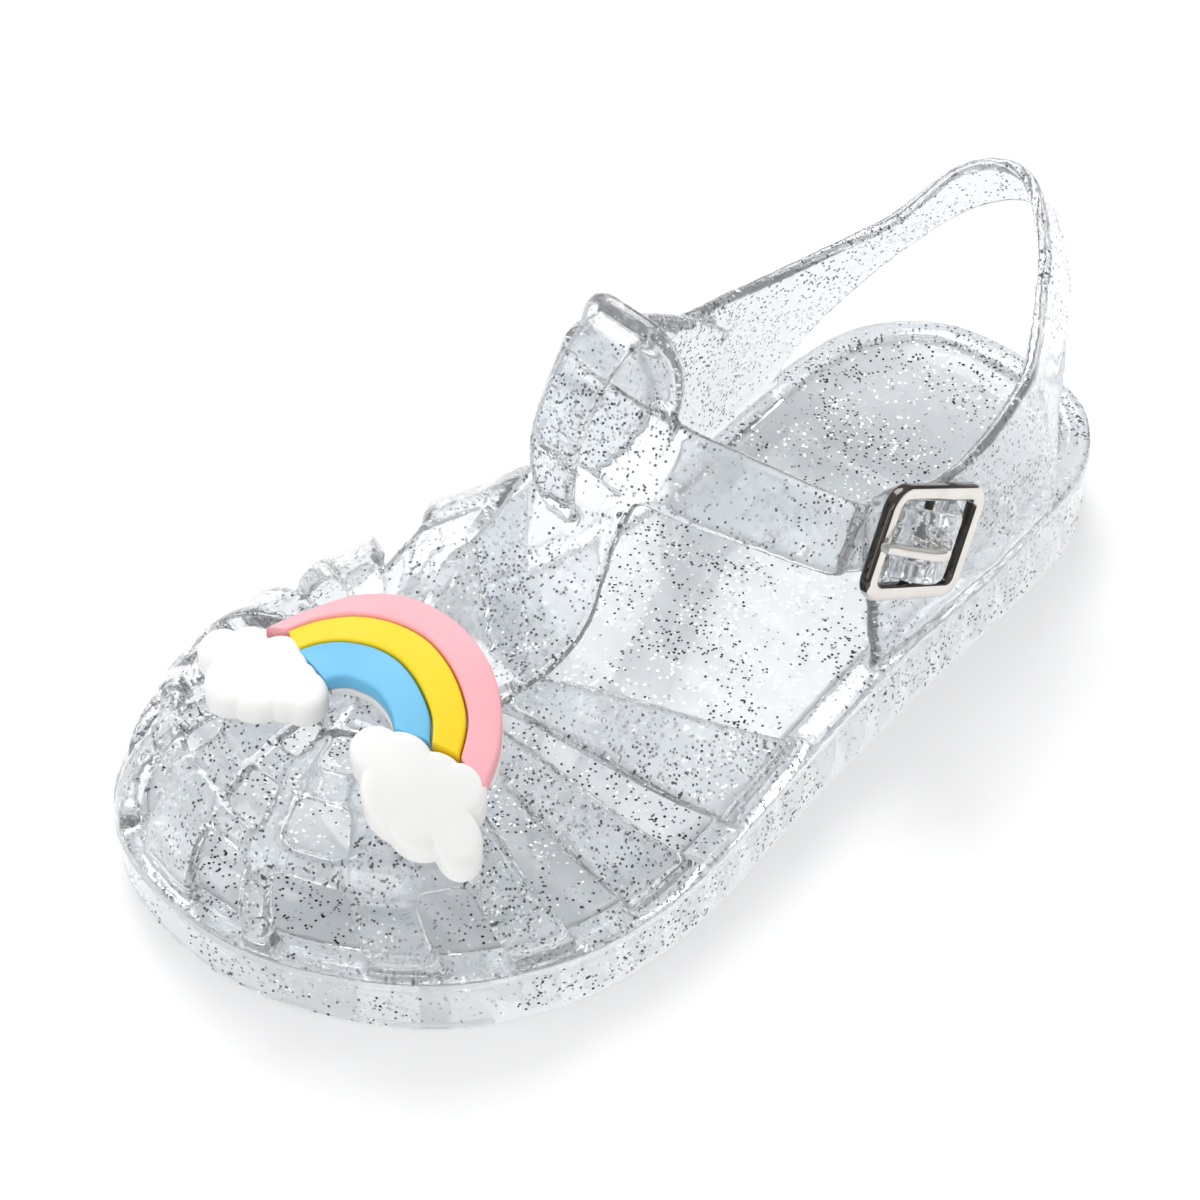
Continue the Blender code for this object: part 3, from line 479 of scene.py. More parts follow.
def cage_point(share, way):
    """Point on the inside of the toe cage, a way of 0 at the sole and 1 at the crown."""
    foot, outward = outline_at(share)
    foot = foot - outward * (LEDGE + WALL)
    number = row_of(CAGE_CURVE, share)
    low = CAGE_CURVE[int(number)][1:]
    high = CAGE_CURVE[min(int(number) + 1, len(CAGE_CURVE) - 1)][1:]
    fullness, lift, sweep = [blend(a, b, number % 1.0) for a, b in zip(low, high)]
    angle = way * math.pi / 2.0
    inward = 1.0 - max(math.cos(angle), 0.0) ** (2.0 / fullness)
    rise = math.sin(angle) ** (2.0 / fullness)
    plan = foot.lerp(CROWN, inward)
    plan.y += sweep * LENGTH * math.sin(math.pi * inward ** 0.45)
    height = blend(sole_top(foot.y) - RIM_THICKNESS / 2.0, CROWN_HEIGHT - WALL, rise)
    height += lift * CROWN_HEIGHT * math.sin(math.pi * inward) ** 2
    return Vector((plan.x, plan.y, height))


print("strips:", len(STRIPS), "hoops:", len(HOOPS))

# %% [markdown]
# A grid covers the whole dome, with a column along each edge of a strip and a row along each edge of a
# hoop. The cells in the gaps are deleted. Then the sheet gets its wall: an extrusion lifts a copy of it
# outwards, farther where a strip or a hoop lies on top.

# %% Toe cage
GAP_EDGE = 0.0016
FOOT_ROWS = 20


def cage_layout():
    """Columns of the cage as (share, strip number or None, whether behind the rear strips)."""
    columns = []
    for number, (start, end, _) in enumerate(STRIPS):
        cells = max(4, round((end - start) / 0.005))
        columns += [(blend(start, end, cell / cells), number, False) for cell in range(cells + 1)]
        if number + 1 < len(STRIPS):
            until = STRIPS[number + 1][0]
            columns += [(blend(end + GAP_EDGE, until - GAP_EDGE, cell / 3.0), None, False)
                        for cell in range(4)]
    start, end = STRIPS[-1][1], STRIPS[0][0] + 1.0
    columns += [(blend(start, end, cell / 24.0), None, True) for cell in range(1, 25)]
    ways = [cell / FOOT_ROWS * HOOPS[0][0] for cell in range(FOOT_ROWS)]
    for low, high, count in ((*HOOPS[0][:2], 6), (HOOPS[0][1], HOOPS[1][0], 6), (*HOOPS[1][:2], 5),
                             (HOOPS[1][1], CLOSED_FROM, 5), (CLOSED_FROM, 1.0, 9)):
        ways += [blend(low, high, cell / count) for cell in range(count)]
    return columns, ways + [1.0]


def smooth(shape, verts, factor):
    bmesh.ops.smooth_vert(shape, verts=verts, factor=factor, use_axis_x=True, use_axis_y=True,
                          use_axis_z=True)


def in_hoop(number_low, number_high, way):
    return any(start - 1e-6 <= way <= end + 1e-6 and first <= number_low and number_high <= last
               for start, end, first, last in HOOPS)


def cage_shape():
    columns, ways = cage_layout()
    count = len(columns) - 1
    owner = []
    latest = 0
    for _, number, _ in columns:
        latest = latest if number is None else number
        owner.append((latest, latest if number is not None else latest + 1))

    def surface(column, row):
        share, _, behind = columns[column]
        if behind:
            part = (share - STRIPS[-1][1]) / (STRIPS[0][0] + 1.0 - STRIPS[-1][1])
            return cage_point(STRIPS[-1][1], ways[row]).lerp(cage_point(STRIPS[0][0], ways[row]), part)
        return cage_point(share, ways[row])

    def relief(column, row):
        _, number, behind = columns[column]
        if behind or number is None:
            return 0.0
        if STRIPS[number][2] and not in_hoop(number, number, ways[row]):
            return 0.0
        return smooth_share(1.0 - ways[row], 0.0, 1.0 - CLOSED_FROM)

    def is_open(column, row):
        middle = (ways[row] + ways[row + 1]) / 2.0
        if columns[column + 1][2]:
            return middle < REAR_FROM
        if columns[column][1] is not None and columns[column][1] == columns[column + 1][1]:
            return False
        if middle > CLOSED_FROM:
            return False
        before = owner[column][0]
        return not in_hoop(before, before + 1, middle)

    shape = bmesh.new()
    lift = shape.verts.layers.float.new("wall")
    bmesh.ops.create_grid(shape, x_segments=count, y_segments=len(ways) - 1, size=1.0)
    cell = {vert: (round((vert.co.x + 1.0) / 2.0 * count),
                   round((vert.co.y + 1.0) / 2.0 * (len(ways) - 1))) for vert in shape.verts}
    gone = [face for face in shape.faces
            if is_open(min(cell[v][0] for v in face.verts), min(cell[v][1] for v in face.verts))]
    bmesh.ops.delete(shape, geom=gone, context="FACES")
    for vert in shape.verts:
        vert.co = surface(*cell[vert])
        vert[lift] = WALL + STRIP_RELIEF * relief(*cell[vert])
    bmesh.ops.remove_doubles(shape, verts=shape.verts[:], dist=0.01 * MM)
    corners = [v for v in shape.verts if v.is_boundary and v.co.z > sole_top(v.co.y) + 1.0 * MM]
    smooth(shape, corners, 0.5)
    return wall_out(shape, lift, Vector((CROWN.x, CROWN.y, 0.0)))


def wall_out(shape, lift, heart):
    """Gives a sheet its wall: a copy moves along the sheet's own normals, away from a heart."""
    bmesh.ops.recalc_face_normals(shape, faces=shape.faces[:])
    shape.normal_update()
    leaning = sum(f.normal.dot(f.calc_center_median() - heart) for f in shape.faces)
    turn = 1.0 if leaning > 0.0 else -1.0
    moves = shape.verts.layers.float_vector.new("moves")
    for vert in shape.verts:
        vert[moves] = vert.normal * turn
    doubled = bmesh.ops.extrude_face_region(shape, geom=shape.faces[:], use_keep_orig=True)
    for item in doubled["geom"]:
        if isinstance(item, bmesh.types.BMVert):
            item.co += Vector(item[moves]) * item[lift]
    bmesh.ops.recalc_face_normals(shape, faces=shape.faces[:])
    return shape


cage = cage_shape()
print("toe cage:", len(cage.faces), "faces, open edges:",
      sum(1 for edge in cage.edges if not edge.is_manifold))

# %% [markdown]
# Behind the cage stand the T-bar with its loop, the two quarters with the strap around the heel, and
# the ankle strap. All of them are bands along a route. The T-bar is a ribbon, which carries a rounded
# section from station to station, and the loop is a narrower one that the ankle strap runs through.

# %% T-bar and loop
T_BAR = [
    # across / BALL_WIDTH, along / LENGTH, height / INSTEP_HEIGHT, width / T_BAR_WIDTH
    (0.000, 0.255, 0.470, 1.10), (-0.030, 0.217, 0.492, 1.25), (-0.034, 0.178, 0.524, 1.28),
    (-0.018, 0.143, 0.560, 1.12), (-0.004, 0.118, 0.588, 1.02), (0.000, 0.098, 0.623, 0.98),
    (0.000, 0.082, 0.662, 0.96), (0.000, 0.065, 0.712, 0.98), (0.003, 0.052, 0.755, 1.00),
    (0.004, 0.038, 0.810, 1.02), (0.004, 0.030, 0.867, 1.04), (0.004, 0.027, 0.923, 0.98),
    (0.004, 0.029, 0.965, 0.80), (0.004, 0.031, 0.988, 0.45),
]
LOOP_BAND = [
    (0.004, 0.030, 0.950, 0.50), (0.004, 0.054, 0.958, 0.50), (0.006, 0.078, 0.915, 0.48),
    (0.016, 0.098, 0.830, 0.46), (0.024, 0.108, 0.745, 0.46), (0.014, 0.111, 0.685, 0.42),
    (-0.006, 0.112, 0.640, 0.30), (-0.016, 0.104, 0.610, 0.16),
]


def instep_stations(table):
    return [(across * BALL_WIDTH, along * LENGTH, height * INSTEP_HEIGHT, 1.0, 0.0, 0.0,
             width * T_BAR_WIDTH) for across, along, height, width in table]


t_bar = ribbon(instep_stations(T_BAR), WALL, 78)
loop = ribbon(instep_stations(LOOP_BAND), STRAP_THICKNESS, 56)
print("T-bar and loop:", len(t_bar.faces) + len(loop.faces), "faces")

# %% [markdown]
# The quarters and the heel strap are one band around the back of the foot. Its width changes a lot, so it
# isn't a ribbon but a sheet between a lower and an upper edge, row by row from the outer side to the inner.

# %% Quarters and heel strap
QUARTER_BAND = [
    # lower edge: across / BALL_WIDTH, along / LENGTH, height / HEEL_STRAP_HEIGHT; upper edge: the same
    (-0.356, -0.096, 0.243, -0.318, -0.086, 0.80),
    (-0.353, -0.150, 0.243, -0.316, -0.134, 0.77),
    (-0.345, -0.210, 0.243, -0.313, -0.186, 0.70),
    (-0.330, -0.270, 0.248, -0.304, -0.246, 0.72),
    (-0.300, -0.345, 0.27, -0.266, -0.312, 0.76),
    (-0.240, -0.378, 0.47, -0.222, -0.347, 0.79),
    (-0.197, -0.406, 0.65, -0.165, -0.382, 0.83),
    (-0.118, -0.446, 0.77, -0.098, -0.417, 0.90),
    (0.000, -0.476, 0.84, 0.000, -0.442, 1.00),
    (0.110, -0.452, 0.79, 0.100, -0.424, 0.97),
    (0.200, -0.404, 0.65, 0.176, -0.378, 0.82),
    (0.262, -0.347, 0.50, 0.236, -0.327, 0.75),
    (0.306, -0.318, 0.36, 0.272, -0.272, 0.72),
    (0.322, -0.285, 0.243, 0.285, -0.217, 0.73),
    (0.300, -0.215, 0.243, 0.272, -0.152, 0.78),
    (0.284, -0.155, 0.243, 0.252, -0.100, 0.88),
]
QUARTER_STEPS = 10


def quarter_shape():
    """The table gives the outer face. The section is rounded, and the wall grows inwards."""
    rows = len(QUARTER_BAND) - 1
    steps = rows * QUARTER_STEPS
    section = rounded_section(1.0, WALL / 2.0, BAND_ROUND)

    sizes = (BALL_WIDTH, LENGTH, HEEL_STRAP_HEIGHT)
    frames = []
    for step in range(steps + 1):
        number = step / QUARTER_STEPS
        values = curve_point(QUARTER_BAND, number)
        after = curve_point(QUARTER_BAND, min(number + 0.05, rows))
        before = curve_point(QUARTER_BAND, max(number - 0.05, 0.0))
        low, high = [Vector([values[n + axis] * size for axis, size in enumerate(sizes)]) for n in (0, 3)]
        forward = Vector([(after[axis] + after[axis + 3] - before[axis] - before[axis + 3]) * size
                          for axis, size in enumerate(sizes)])
        side = (high - low).normalized()
        forward = (forward - side * forward.dot(side)).normalized()
        frames.append((low, high, forward.cross(side).normalized()))

    def place(column, row):
        low, high, inward = frames[min(max(row - 1, 0), steps)]
        across, deep = section[column % len(section)]
        middle = (low + high) / 2.0 + inward * (WALL / 2.0)
        if row == 0 or row == steps + 2:
            return middle
        reach = (high - low).length / 2.0
        if abs(across) > 1.0 - BAND_ROUND - 1e-9:
            across = math.copysign(reach - (1.0 - abs(across)), across)
        return middle + (high - low).normalized() * across + inward * deep

    return grid_on(len(section), steps + 2, place)


quarters = quarter_shape()
print("quarters and heel strap:", len(quarters.faces), "faces")

# %% [markdown]
# The buckle has its own small frame of reference: toward the heel, toward its upper side and out of the
# shoe. The ankle strap comes over the instep through the loop, dives under the front of the buckle, bulges
# up over its centre bar and goes down again behind it, and its end lies on the quarter.

# %% Ankle strap
BUCKLE_LENGTH = 21.8 * MM
BUCKLE_WIDTH = 16.4 * MM
BUCKLE_BAR = 2.3 * MM
BUCKLE_DEPTH = 2.0 * MM
BUCKLE_CORNER = 3.4 * MM
BAR_RADIUS = 0.9 * MM
BAR_LEVEL = -0.5 * MM
PRONG_WIDTH = 1.6 * MM
BUCKLE_PLACE = Vector((-0.376 * BALL_WIDTH, -0.1445 * LENGTH, 0.452 * INSTEP_HEIGHT))
HEELWARD = Vector((0.0, -0.8565, -0.5162))
UPWARD = Vector((0.1250, -0.5120, 0.8500))
OUTWARD = Vector((-0.9922, -0.0645, 0.1070))
STRAP_IN_BUCKLE = [
    # toward the heel / BUCKLE_LENGTH, out of the shoe / STRAP_THICKNESS, width / STRAP_WIDTH
    (-0.76, -1.22, 0.82), (-0.58, -1.24, 0.79), (-0.44, -1.24, 0.78), (-0.34, -1.00, 0.78),
    (-0.20, 0.60, 0.78), (-0.07, 1.45, 0.78), (0.07, 1.45, 0.78), (0.20, 0.60, 0.78),
    (0.34, -1.00, 0.78), (0.44, -1.24, 0.78), (0.60, -1.24, 0.78), (0.80, -1.24, 0.78),
    (0.98, -1.24, 0.72), (1.08, -1.24, 0.50), (1.12, -1.24, 0.22),
]
ANKLE_STRAP = [
    # across / BALL_WIDTH, along / LENGTH, height / INSTEP_HEIGHT, width / STRAP_WIDTH, then the
    # direction of its width as x, y, z
    (0.266, -0.185, 0.440, 0.80, -0.12, 0.30, 1.0),
    (0.250, -0.120, 0.545, 0.98, -0.15, 0.15, 1.0),
    (0.228, -0.062, 0.640, 0.97, -0.20, 0.00, 1.0),
    (0.200, -0.012, 0.720, 0.96, -0.25, -0.15, 1.0),
    (0.164, 0.034, 0.780, 0.96, -0.20, -0.32, 1.0),
    (0.112, 0.068, 0.805, 0.96, -0.06, -0.42, 1.0),
    (0.040, 0.077, 0.800, 0.96, 0.00, -0.42, 1.0),
    (-0.030, 0.074, 0.788, 0.96, 0.00, -0.42, 1.0),
    (-0.105, 0.062, 0.762, 0.95, 0.10, -0.36, 1.0),
    (-0.180, 0.036, 0.715, 0.93, 0.20, -0.28, 1.0),
    (-0.250, -0.003, 0.648, 0.88, 0.22, -0.25, 1.0),
]


def buckle_point(along, across, out):
    return BUCKLE_PLACE + HEELWARD * along + UPWARD * across + OUTWARD * out


def strap_stations():
    stations = []
    for across, along, height, width, side_x, side_y, side_z in ANKLE_STRAP:
        stations.append((across * BALL_WIDTH, along * LENGTH, height * INSTEP_HEIGHT,
                         side_x, side_y, side_z, width * STRAP_WIDTH))
    for along, out, width in STRAP_IN_BUCKLE:
        stations.append((*buckle_point(along * BUCKLE_LENGTH, 0.0, out * STRAP_THICKNESS),
                         *UPWARD, width * STRAP_WIDTH))
    return stations


print("ankle strap:", len(strap_stations()), "stations")

# %% [markdown]
# The prong needs a slot in the strap, and the centre bar needs a bore in its two lugs. Both are cut here,
# before the pieces are fused, because a Boolean step keeps their edges crisp.

# %% Slot and lugs
LUG_WIDTH = 2.2 * MM
LUG_RADIUS = 2.0 * MM
LUG_SPREAD = 3.6 * MM
BORE_REACH = 3.0 * MM
QUARTER_LEVEL = -3.4 * MM
SLOT_LENGTH = 5.4 * MM
SLOT_WIDTH = 2.6 * MM
SLOT_SHIFT = -0.1 * MM
SLOT_FLOOR = 1.3 * MM
SLOT_ROOF = 7.0 * MM


def rod(start, end, side_a, side_b, radius, count):
    """Closed round rod between two points."""
    def place(column, row):
        turn = 2.0 * math.pi * (column % count) / count
        middle = start if row < 2 else end
        reach = radius if row in (1, 2) else 0.0
        return middle + (side_a * math.cos(turn) + side_b * math.sin(turn)) * reach

    return grid_on(count, 3, place)


def lug_shape(across):
    shape = bmesh.new()
    block = bmesh.ops.create_cube(shape, size=2.0)["verts"]
    for vert in block:
        out = QUARTER_LEVEL - 1.0 * MM if vert.co.z < 0.0 else BAR_LEVEL + LUG_RADIUS
        vert.co = buckle_point(vert.co.x * LUG_RADIUS, across + vert.co.y * LUG_WIDTH / 2.0, out)
    top = [edge for edge in shape.edges
           if all((v.co - BUCKLE_PLACE).dot(OUTWARD) > BAR_LEVEL for v in edge.verts)
           and abs((edge.verts[0].co - edge.verts[1].co).dot(UPWARD)) > LUG_WIDTH / 2.0]
    bmesh.ops.bevel(shape, geom=top, offset=LUG_RADIUS * 0.9, offset_type="OFFSET", affect="EDGES",
                    segments=5, profile=0.5, material=-1)
    bmesh.ops.recalc_face_normals(shape, faces=shape.faces[:])
    return shape


def slot_shape():
    shape = bmesh.new()
    for vert in bmesh.ops.create_cube(shape, size=2.0)["verts"]:
        vert.co = buckle_point(SLOT_SHIFT + vert.co.x * SLOT_LENGTH / 2.0, vert.co.y * SLOT_WIDTH / 2.0,
                               blend(SLOT_FLOOR, SLOT_ROOF, (vert.co.z + 1.0) / 2.0))
    bmesh.ops.recalc_face_normals(shape, faces=shape.faces[:])
    return shape


strap = cut_shape(ribbon(strap_stations(), STRAP_THICKNESS, 240), slot_shape())
lugs = []
for across in (-LUG_SPREAD, LUG_SPREAD):
    bore = rod(buckle_point(0.0, across - BORE_REACH, BAR_LEVEL),
               buckle_point(0.0, across + BORE_REACH, BAR_LEVEL),
               HEELWARD, OUTWARD, BAR_RADIUS + FIT_GAP, 20)
    lugs.append(cut_shape(lug_shape(across), bore))
print("strap with its slot:", len(strap.faces), "faces, lugs:", len(lugs))

# %% [markdown]
# The real upper comes out of the mould in one piece, with a soft fillet wherever a strip runs into the rim
# or a strap crosses another. Joining the shells with a Boolean step would leave sharp creases there. A
# voxel remesh fuses them and rounds every junction a little instead, and a few smoothing passes take out
# the small steps that the voxels leave. The passes come in pairs, one in and one out, so that the thin
# walls keep their thickness.

# %% Upper, fused into one moulding
VOXEL = 0.55 * MM
SMOOTHING = (0.5, 0.5, -0.5, 0.5, 0.5, -0.5, 0.5, -0.5, 0.5, 0.5, -0.5, 0.5)


def fuse(shapes):
    """Joins closed shapes into one mesh."""
    joined = bmesh.new()
    for shape in shapes:
        mesh = mesh_of("part", shape)
        joined.from_mesh(mesh)
        bpy.data.meshes.remove(mesh)
    return joined


upper = piece("clear_upper", fuse([rim, cage, t_bar, loop, quarters, strap, *lugs]), ("upper",))
apply_step(upper, "REMESH", mode="VOXEL", voxel_size=VOXEL, use_smooth_shade=True)
smoothed = bmesh.new()
smoothed.from_mesh(upper.data)
for factor in SMOOTHING:
    smooth(smoothed, smoothed.verts[:], factor)
smoothed.to_mesh(upper.data)
smoothed.free()
upper.data.shade_smooth()
print("upper:", triangles(upper), "triangles")

# %% [markdown]
# The buckle is a bar bent into a rectangle with round corners, polished and plated. The bar's section is
# carried around the bend, with a flat face, as the light catches it, and a bevel on each side of it.

# %% Buckle
BUCKLE_ROUND = 0.72 * MM
CORNER_STEPS = 12


def buckle_ring():
    half_long = (BUCKLE_LENGTH - BUCKLE_BAR) / 2.0
    half_wide = (BUCKLE_WIDTH - BUCKLE_BAR) / 2.0
    radius = BUCKLE_CORNER - BUCKLE_BAR / 2.0
    route = [(side * (half_long - radius) + x * radius, face * (half_wide - radius) + y * radius, x, y)
             for side, face, x, y in corner_walk(CORNER_STEPS)]
    section = rounded_section(BUCKLE_BAR / 2.0, BUCKLE_DEPTH / 2.0, BUCKLE_ROUND, 6)

    def place(column, row):
        along, across, away_long, away_wide = route[row % len(route)]
        away, out = section[column % len(section)]
        return buckle_point(along + away_long * away, across + away_wide * away, out)

    return grid_on(len(section), len(route), place)


half_bar = BUCKLE_WIDTH / 2.0 - BUCKLE_BAR * 0.6
bar = rod(buckle_point(0.0, -half_bar, BAR_LEVEL), buckle_point(0.0, half_bar, BAR_LEVEL),
          HEELWARD, OUTWARD, BAR_RADIUS, 32)
buckle = piece("nickel_buckle", fuse([buckle_ring(), bar]), ("buckle_frame",), 30.0)
print("buckle:", triangles(buckle), "triangles")

# %% [markdown]
# The prong is a flat finger of the same metal. One end is rolled around the centre bar, and the other
# comes out through the strap and rests on the front bar of the buckle.

# %% Prong
COLLAR_WALL = 0.8 * MM
COLLAR_ROUND = 0.2 * MM
COLLAR_STEPS = 32
PRONG_ROUND = 0.45 * MM
PRONG_PATH = [
    # toward the heel / BUCKLE_LENGTH, out of the shoe / BUCKLE_LENGTH, width / PRONG_WIDTH
    (0.010, 0.055, 1.00), (-0.010, 0.150, 1.00), (-0.060, 0.215, 1.00), (-0.160, 0.215, 1.00),
    (-0.300, 0.160, 1.00), (-0.430, 0.105, 0.95), (-0.520, 0.085, 0.80),
]


def collar_shape():
    middle_line = BAR_RADIUS + FIT_GAP + COLLAR_WALL / 2.0
    section = rounded_section(PRONG_WIDTH / 2.0, COLLAR_WALL / 2.0, COLLAR_ROUND)

    def place(column, row):
        turn = 2.0 * math.pi * (row % COLLAR_STEPS) / COLLAR_STEPS
        side, out = section[column % len(section)]
        reach = middle_line + out
        return buckle_point(math.cos(turn) * reach, side, BAR_LEVEL + math.sin(turn) * reach)

    return grid_on(len(section), COLLAR_STEPS, place)


prong_stations = [(*buckle_point(along * BUCKLE_LENGTH, 0.0, out * BUCKLE_LENGTH), *UPWARD,
                   width * PRONG_WIDTH) for along, out, width in PRONG_PATH]
prong_shape = fuse([collar_shape(), ribbon(prong_stations, PRONG_WIDTH, 48, PRONG_ROUND)])
prong = piece("nickel_prong", prong_shape, ("buckle_prong",), 50.0)
print("prong:", triangles(prong), "triangles")

# %% [markdown]
# The ornament is soft rubber: a rainbow of three bands on a thin white base, with a white cloud at each
# end. It lies on the cage, so its underside follows a table of heights over the strips.

# %% Seat of the ornament
CHARM_BASE = 0.9 * MM
BAND_HEIGHT = 1.9 * MM
SEAT_ACROSS = (-0.38, 0.40)
CHARM_SEAT = [
    # along / LENGTH, then heights / CROWN_HEIGHT at even steps across between SEAT_ACROSS
    (0.20, 1.006, 1.075, 1.134, 1.147, 1.138, 1.117, 1.102, 1.093),
    (0.25, 0.901, 0.977, 1.070, 1.099, 1.083, 1.068, 1.068, 1.065),
    (0.30, 0.804, 0.914, 0.999, 1.038, 1.031, 1.040, 1.039, 1.030),
    (0.35, 0.719, 0.857, 0.967, 1.018, 1.049, 1.017, 1.003, 0.986),
    (0.40, 0.666, 0.790, 0.919, 0.978, 0.986, 0.956, 0.950, 0.940),
    (0.44, 0.628, 0.743, 0.842, 0.904, 0.921, 0.914, 0.903, 0.893),
]


def seat_height(across, along):
    """Height of the ornament's underside above the floor."""
    columns = len(CHARM_SEAT[0]) - 1
    low, high = SEAT_ACROSS
    column = (across / BALL_WIDTH - low) / (high - low) * (columns - 1)
    row = row_of(CHARM_SEAT, along / LENGTH)
    line = [curve_point([(value,) for value in values[1:]], column) for values in CHARM_SEAT]
    return curve_point(line, row)[0] * CROWN_HEIGHT


def on_seat(plan, lift):
    return Vector((plan.x, plan.y, seat_height(plan.x, plan.y) + lift))


print("seat above the crown:", round(1000.0 * seat_height(CROWN.x, CROWN.y), 1), "mm")

# %% [markdown]
# The real bands are moulded one by one and pressed together, so a fine groove runs between them. A row of
# this table holds one point of each band's edge, from the rainbow's inner end, over its top, to its outer
# end. A band is a section with rounded upper corners, carried along its two edges.

# %% Rainbow
BASE_ROUND = 0.2 * MM
BAND_TOP_ROUND = 0.42 * MM
BASE_SPAN = (0.06, 0.94)
BAND_SPAN = (-0.012, 1.012)
RAINBOW_EDGES = [
    # across / BALL_WIDTH, along / LENGTH of the pink edge, the yellow one, the blue one, the inside
    (0.214, 0.345, 0.177, 0.335, 0.124, 0.346, 0.029, 0.354),
    (0.189, 0.306, 0.155, 0.309, 0.108, 0.327, 0.020, 0.345),
    (0.152, 0.270, 0.119, 0.287, 0.084, 0.311, 0.007, 0.338),
    (0.077, 0.247, 0.064, 0.273, 0.047, 0.300, -0.011, 0.334),
    (-0.025, 0.241, -0.007, 0.268, -0.002, 0.296, -0.032, 0.331),
    (-0.124, 0.247, -0.077, 0.271, -0.053, 0.298, -0.054, 0.331),
    (-0.202, 0.262, -0.140, 0.280, -0.100, 0.304, -0.077, 0.333),
    (-0.259, 0.288, -0.190, 0.294, -0.142, 0.313, -0.098, 0.337),
    (-0.294, 0.321, -0.225, 0.316, -0.176, 0.327, -0.118, 0.343),
]


def band_shape(outer, inner, trim, low, height, corner, start, end):
    """Band of the rainbow between two of its edges, with its upper edges rounded."""
    steps = 96
    rows = len(RAINBOW_EDGES) - 1

    def edges(step):
        values = curve_point(RAINBOW_EDGES, blend(start, end, step / steps) * rows)
        first = Vector((values[2 * outer] * BALL_WIDTH, values[2 * outer + 1] * LENGTH))
        last = Vector((values[2 * inner] * BALL_WIDTH, values[2 * inner + 1] * LENGTH))
        across = (last - first).normalized()
        return first + across * trim, last - across * trim

    section = [(1, 0.0, 0.0), (0, 0.0, 0.0)]
    section += [(0, draw, height - drop) for draw, drop in round_edge(corner, 4)]
    section += [(None, 0.0, height)] * 2
    section += [(1, draw, height - drop) for drop, draw in round_edge(corner, 4)]

    def place(column, row):
        number = column % len(section)
        side, draw, lift = section[number]
        first, last = edges(min(max(row - 1, 0), steps))
        width = (last - first).length
        if side is None:
            spot = first.lerp(last, (number - 6) / 3.0)
        else:
            spot = first.lerp(last, draw / width if side == 0 else 1.0 - draw / width)
        if row == 0 or row == steps + 2:
            spot = first.lerp(last, 0.5)
            lift = height / 2.0
        return on_seat(spot, low + lift)

    return grid_on(len(section), steps + 2, place)


base_shape = band_shape(0, 3, 0.0, 0.0, CHARM_BASE, BASE_ROUND, *BASE_SPAN)
charm_base = piece("rubber_base", base_shape, ("charm_base",), 60.0)
bands = []
for number, name in enumerate(("pink", "yellow", "blue")):
    shape = band_shape(number, number + 1, FIT_GAP / 2.0, CHARM_BASE + FIT_GAP, BAND_HEIGHT,
                       BAND_TOP_ROUND, *BAND_SPAN)
    bands.append(piece("rubber_" + name, shape, ("charm_" + name,), 60.0))
print("rainbow:", sum(triangles(thing) for thing in [charm_base, *bands]), "triangles")

# %% [markdown]
# Each cloud is a few round lobes side by side. Its edge is the farthest point of any lobe, seen all around
# from the cloud's middle, and its shell rises from that edge and rounds over toward the middle.

# %% Clouds
CLOUD_HEIGHT = 3.2 * MM
CLOUD_ROUND = 1.1 * MM
CLOUD_SWELL = 0.1 * MM
CLOUD_STEPS = 216
CLOUD_TOE = [
    # across / BALL_WIDTH, along / LENGTH, radius
    (0.256, 0.381, 2.7 * MM), (0.218, 0.367, 3.0 * MM), (0.176, 0.388, 4.7 * MM),
    (0.128, 0.377, 5.2 * MM), (0.153, 0.358, 3.2 * MM), (0.074, 0.373, 3.5 * MM),
    (0.041, 0.371, 2.8 * MM),
]
CLOUD_SIDE = [
    # across / BALL_WIDTH, along / LENGTH, radius
    (-0.124, 0.365, 3.2 * MM), (-0.171, 0.358, 4.3 * MM), (-0.198, 0.371, 4.7 * MM),
    (-0.237, 0.365, 4.9 * MM), (-0.234, 0.347, 4.2 * MM), (-0.266, 0.331, 3.0 * MM),
    (-0.314, 0.357, 3.1 * MM), (-0.276, 0.356, 3.5 * MM),
]


def cloud_outline(lobes, steps):
    """Edge of a cloud's round lobes taken together, seen from its middle."""
    discs = [(Vector((across * BALL_WIDTH, along * LENGTH)), radius) for across, along, radius in lobes]
    middle = sum((centre * radius for centre, radius in discs), Vector((0.0, 0.0)))
    middle /= sum(radius for _, radius in discs)
    points = []
    for step in range(steps):
        turn = 2.0 * math.pi * step / steps
        way = Vector((math.cos(turn), math.sin(turn)))
        reach = 0.0
        for centre, radius in discs:
            along = (centre - middle).dot(way)
            miss = radius ** 2 - (centre - middle).length_squared + along ** 2
            if miss > 0.0:
                reach = max(reach, along + math.sqrt(miss))
        points.append(middle + way * reach)
    return middle, points


def cloud_shape(lobes):
    """Puffy cloud: its outline drawn in toward its middle as the shell rises and rounds over."""
    middle, points = cloud_outline(lobes, CLOUD_STEPS)
    top = CLOUD_HEIGHT
    profile = [(None, 0.0), (2.0 * MM, 0.0), (0.0, 0.0), (0.0, top * 0.35), (0.0, top - CLOUD_ROUND)]
    profile += [(draw, top - drop) for draw, drop in round_edge(CLOUD_ROUND, 6)[1:]]
    profile += [(CLOUD_ROUND + 1.2 * MM, top + CLOUD_SWELL), (None, top + 2.0 * CLOUD_SWELL)]

    def place(column, row):
        edge = points[column % CLOUD_STEPS]
        draw, lift = profile[row]
        share = 1.0 if draw is None else min(draw / (middle - edge).length, 0.85)
        return on_seat(edge.lerp(middle, share), lift)

    return grid_on(CLOUD_STEPS, len(profile) - 1, place)


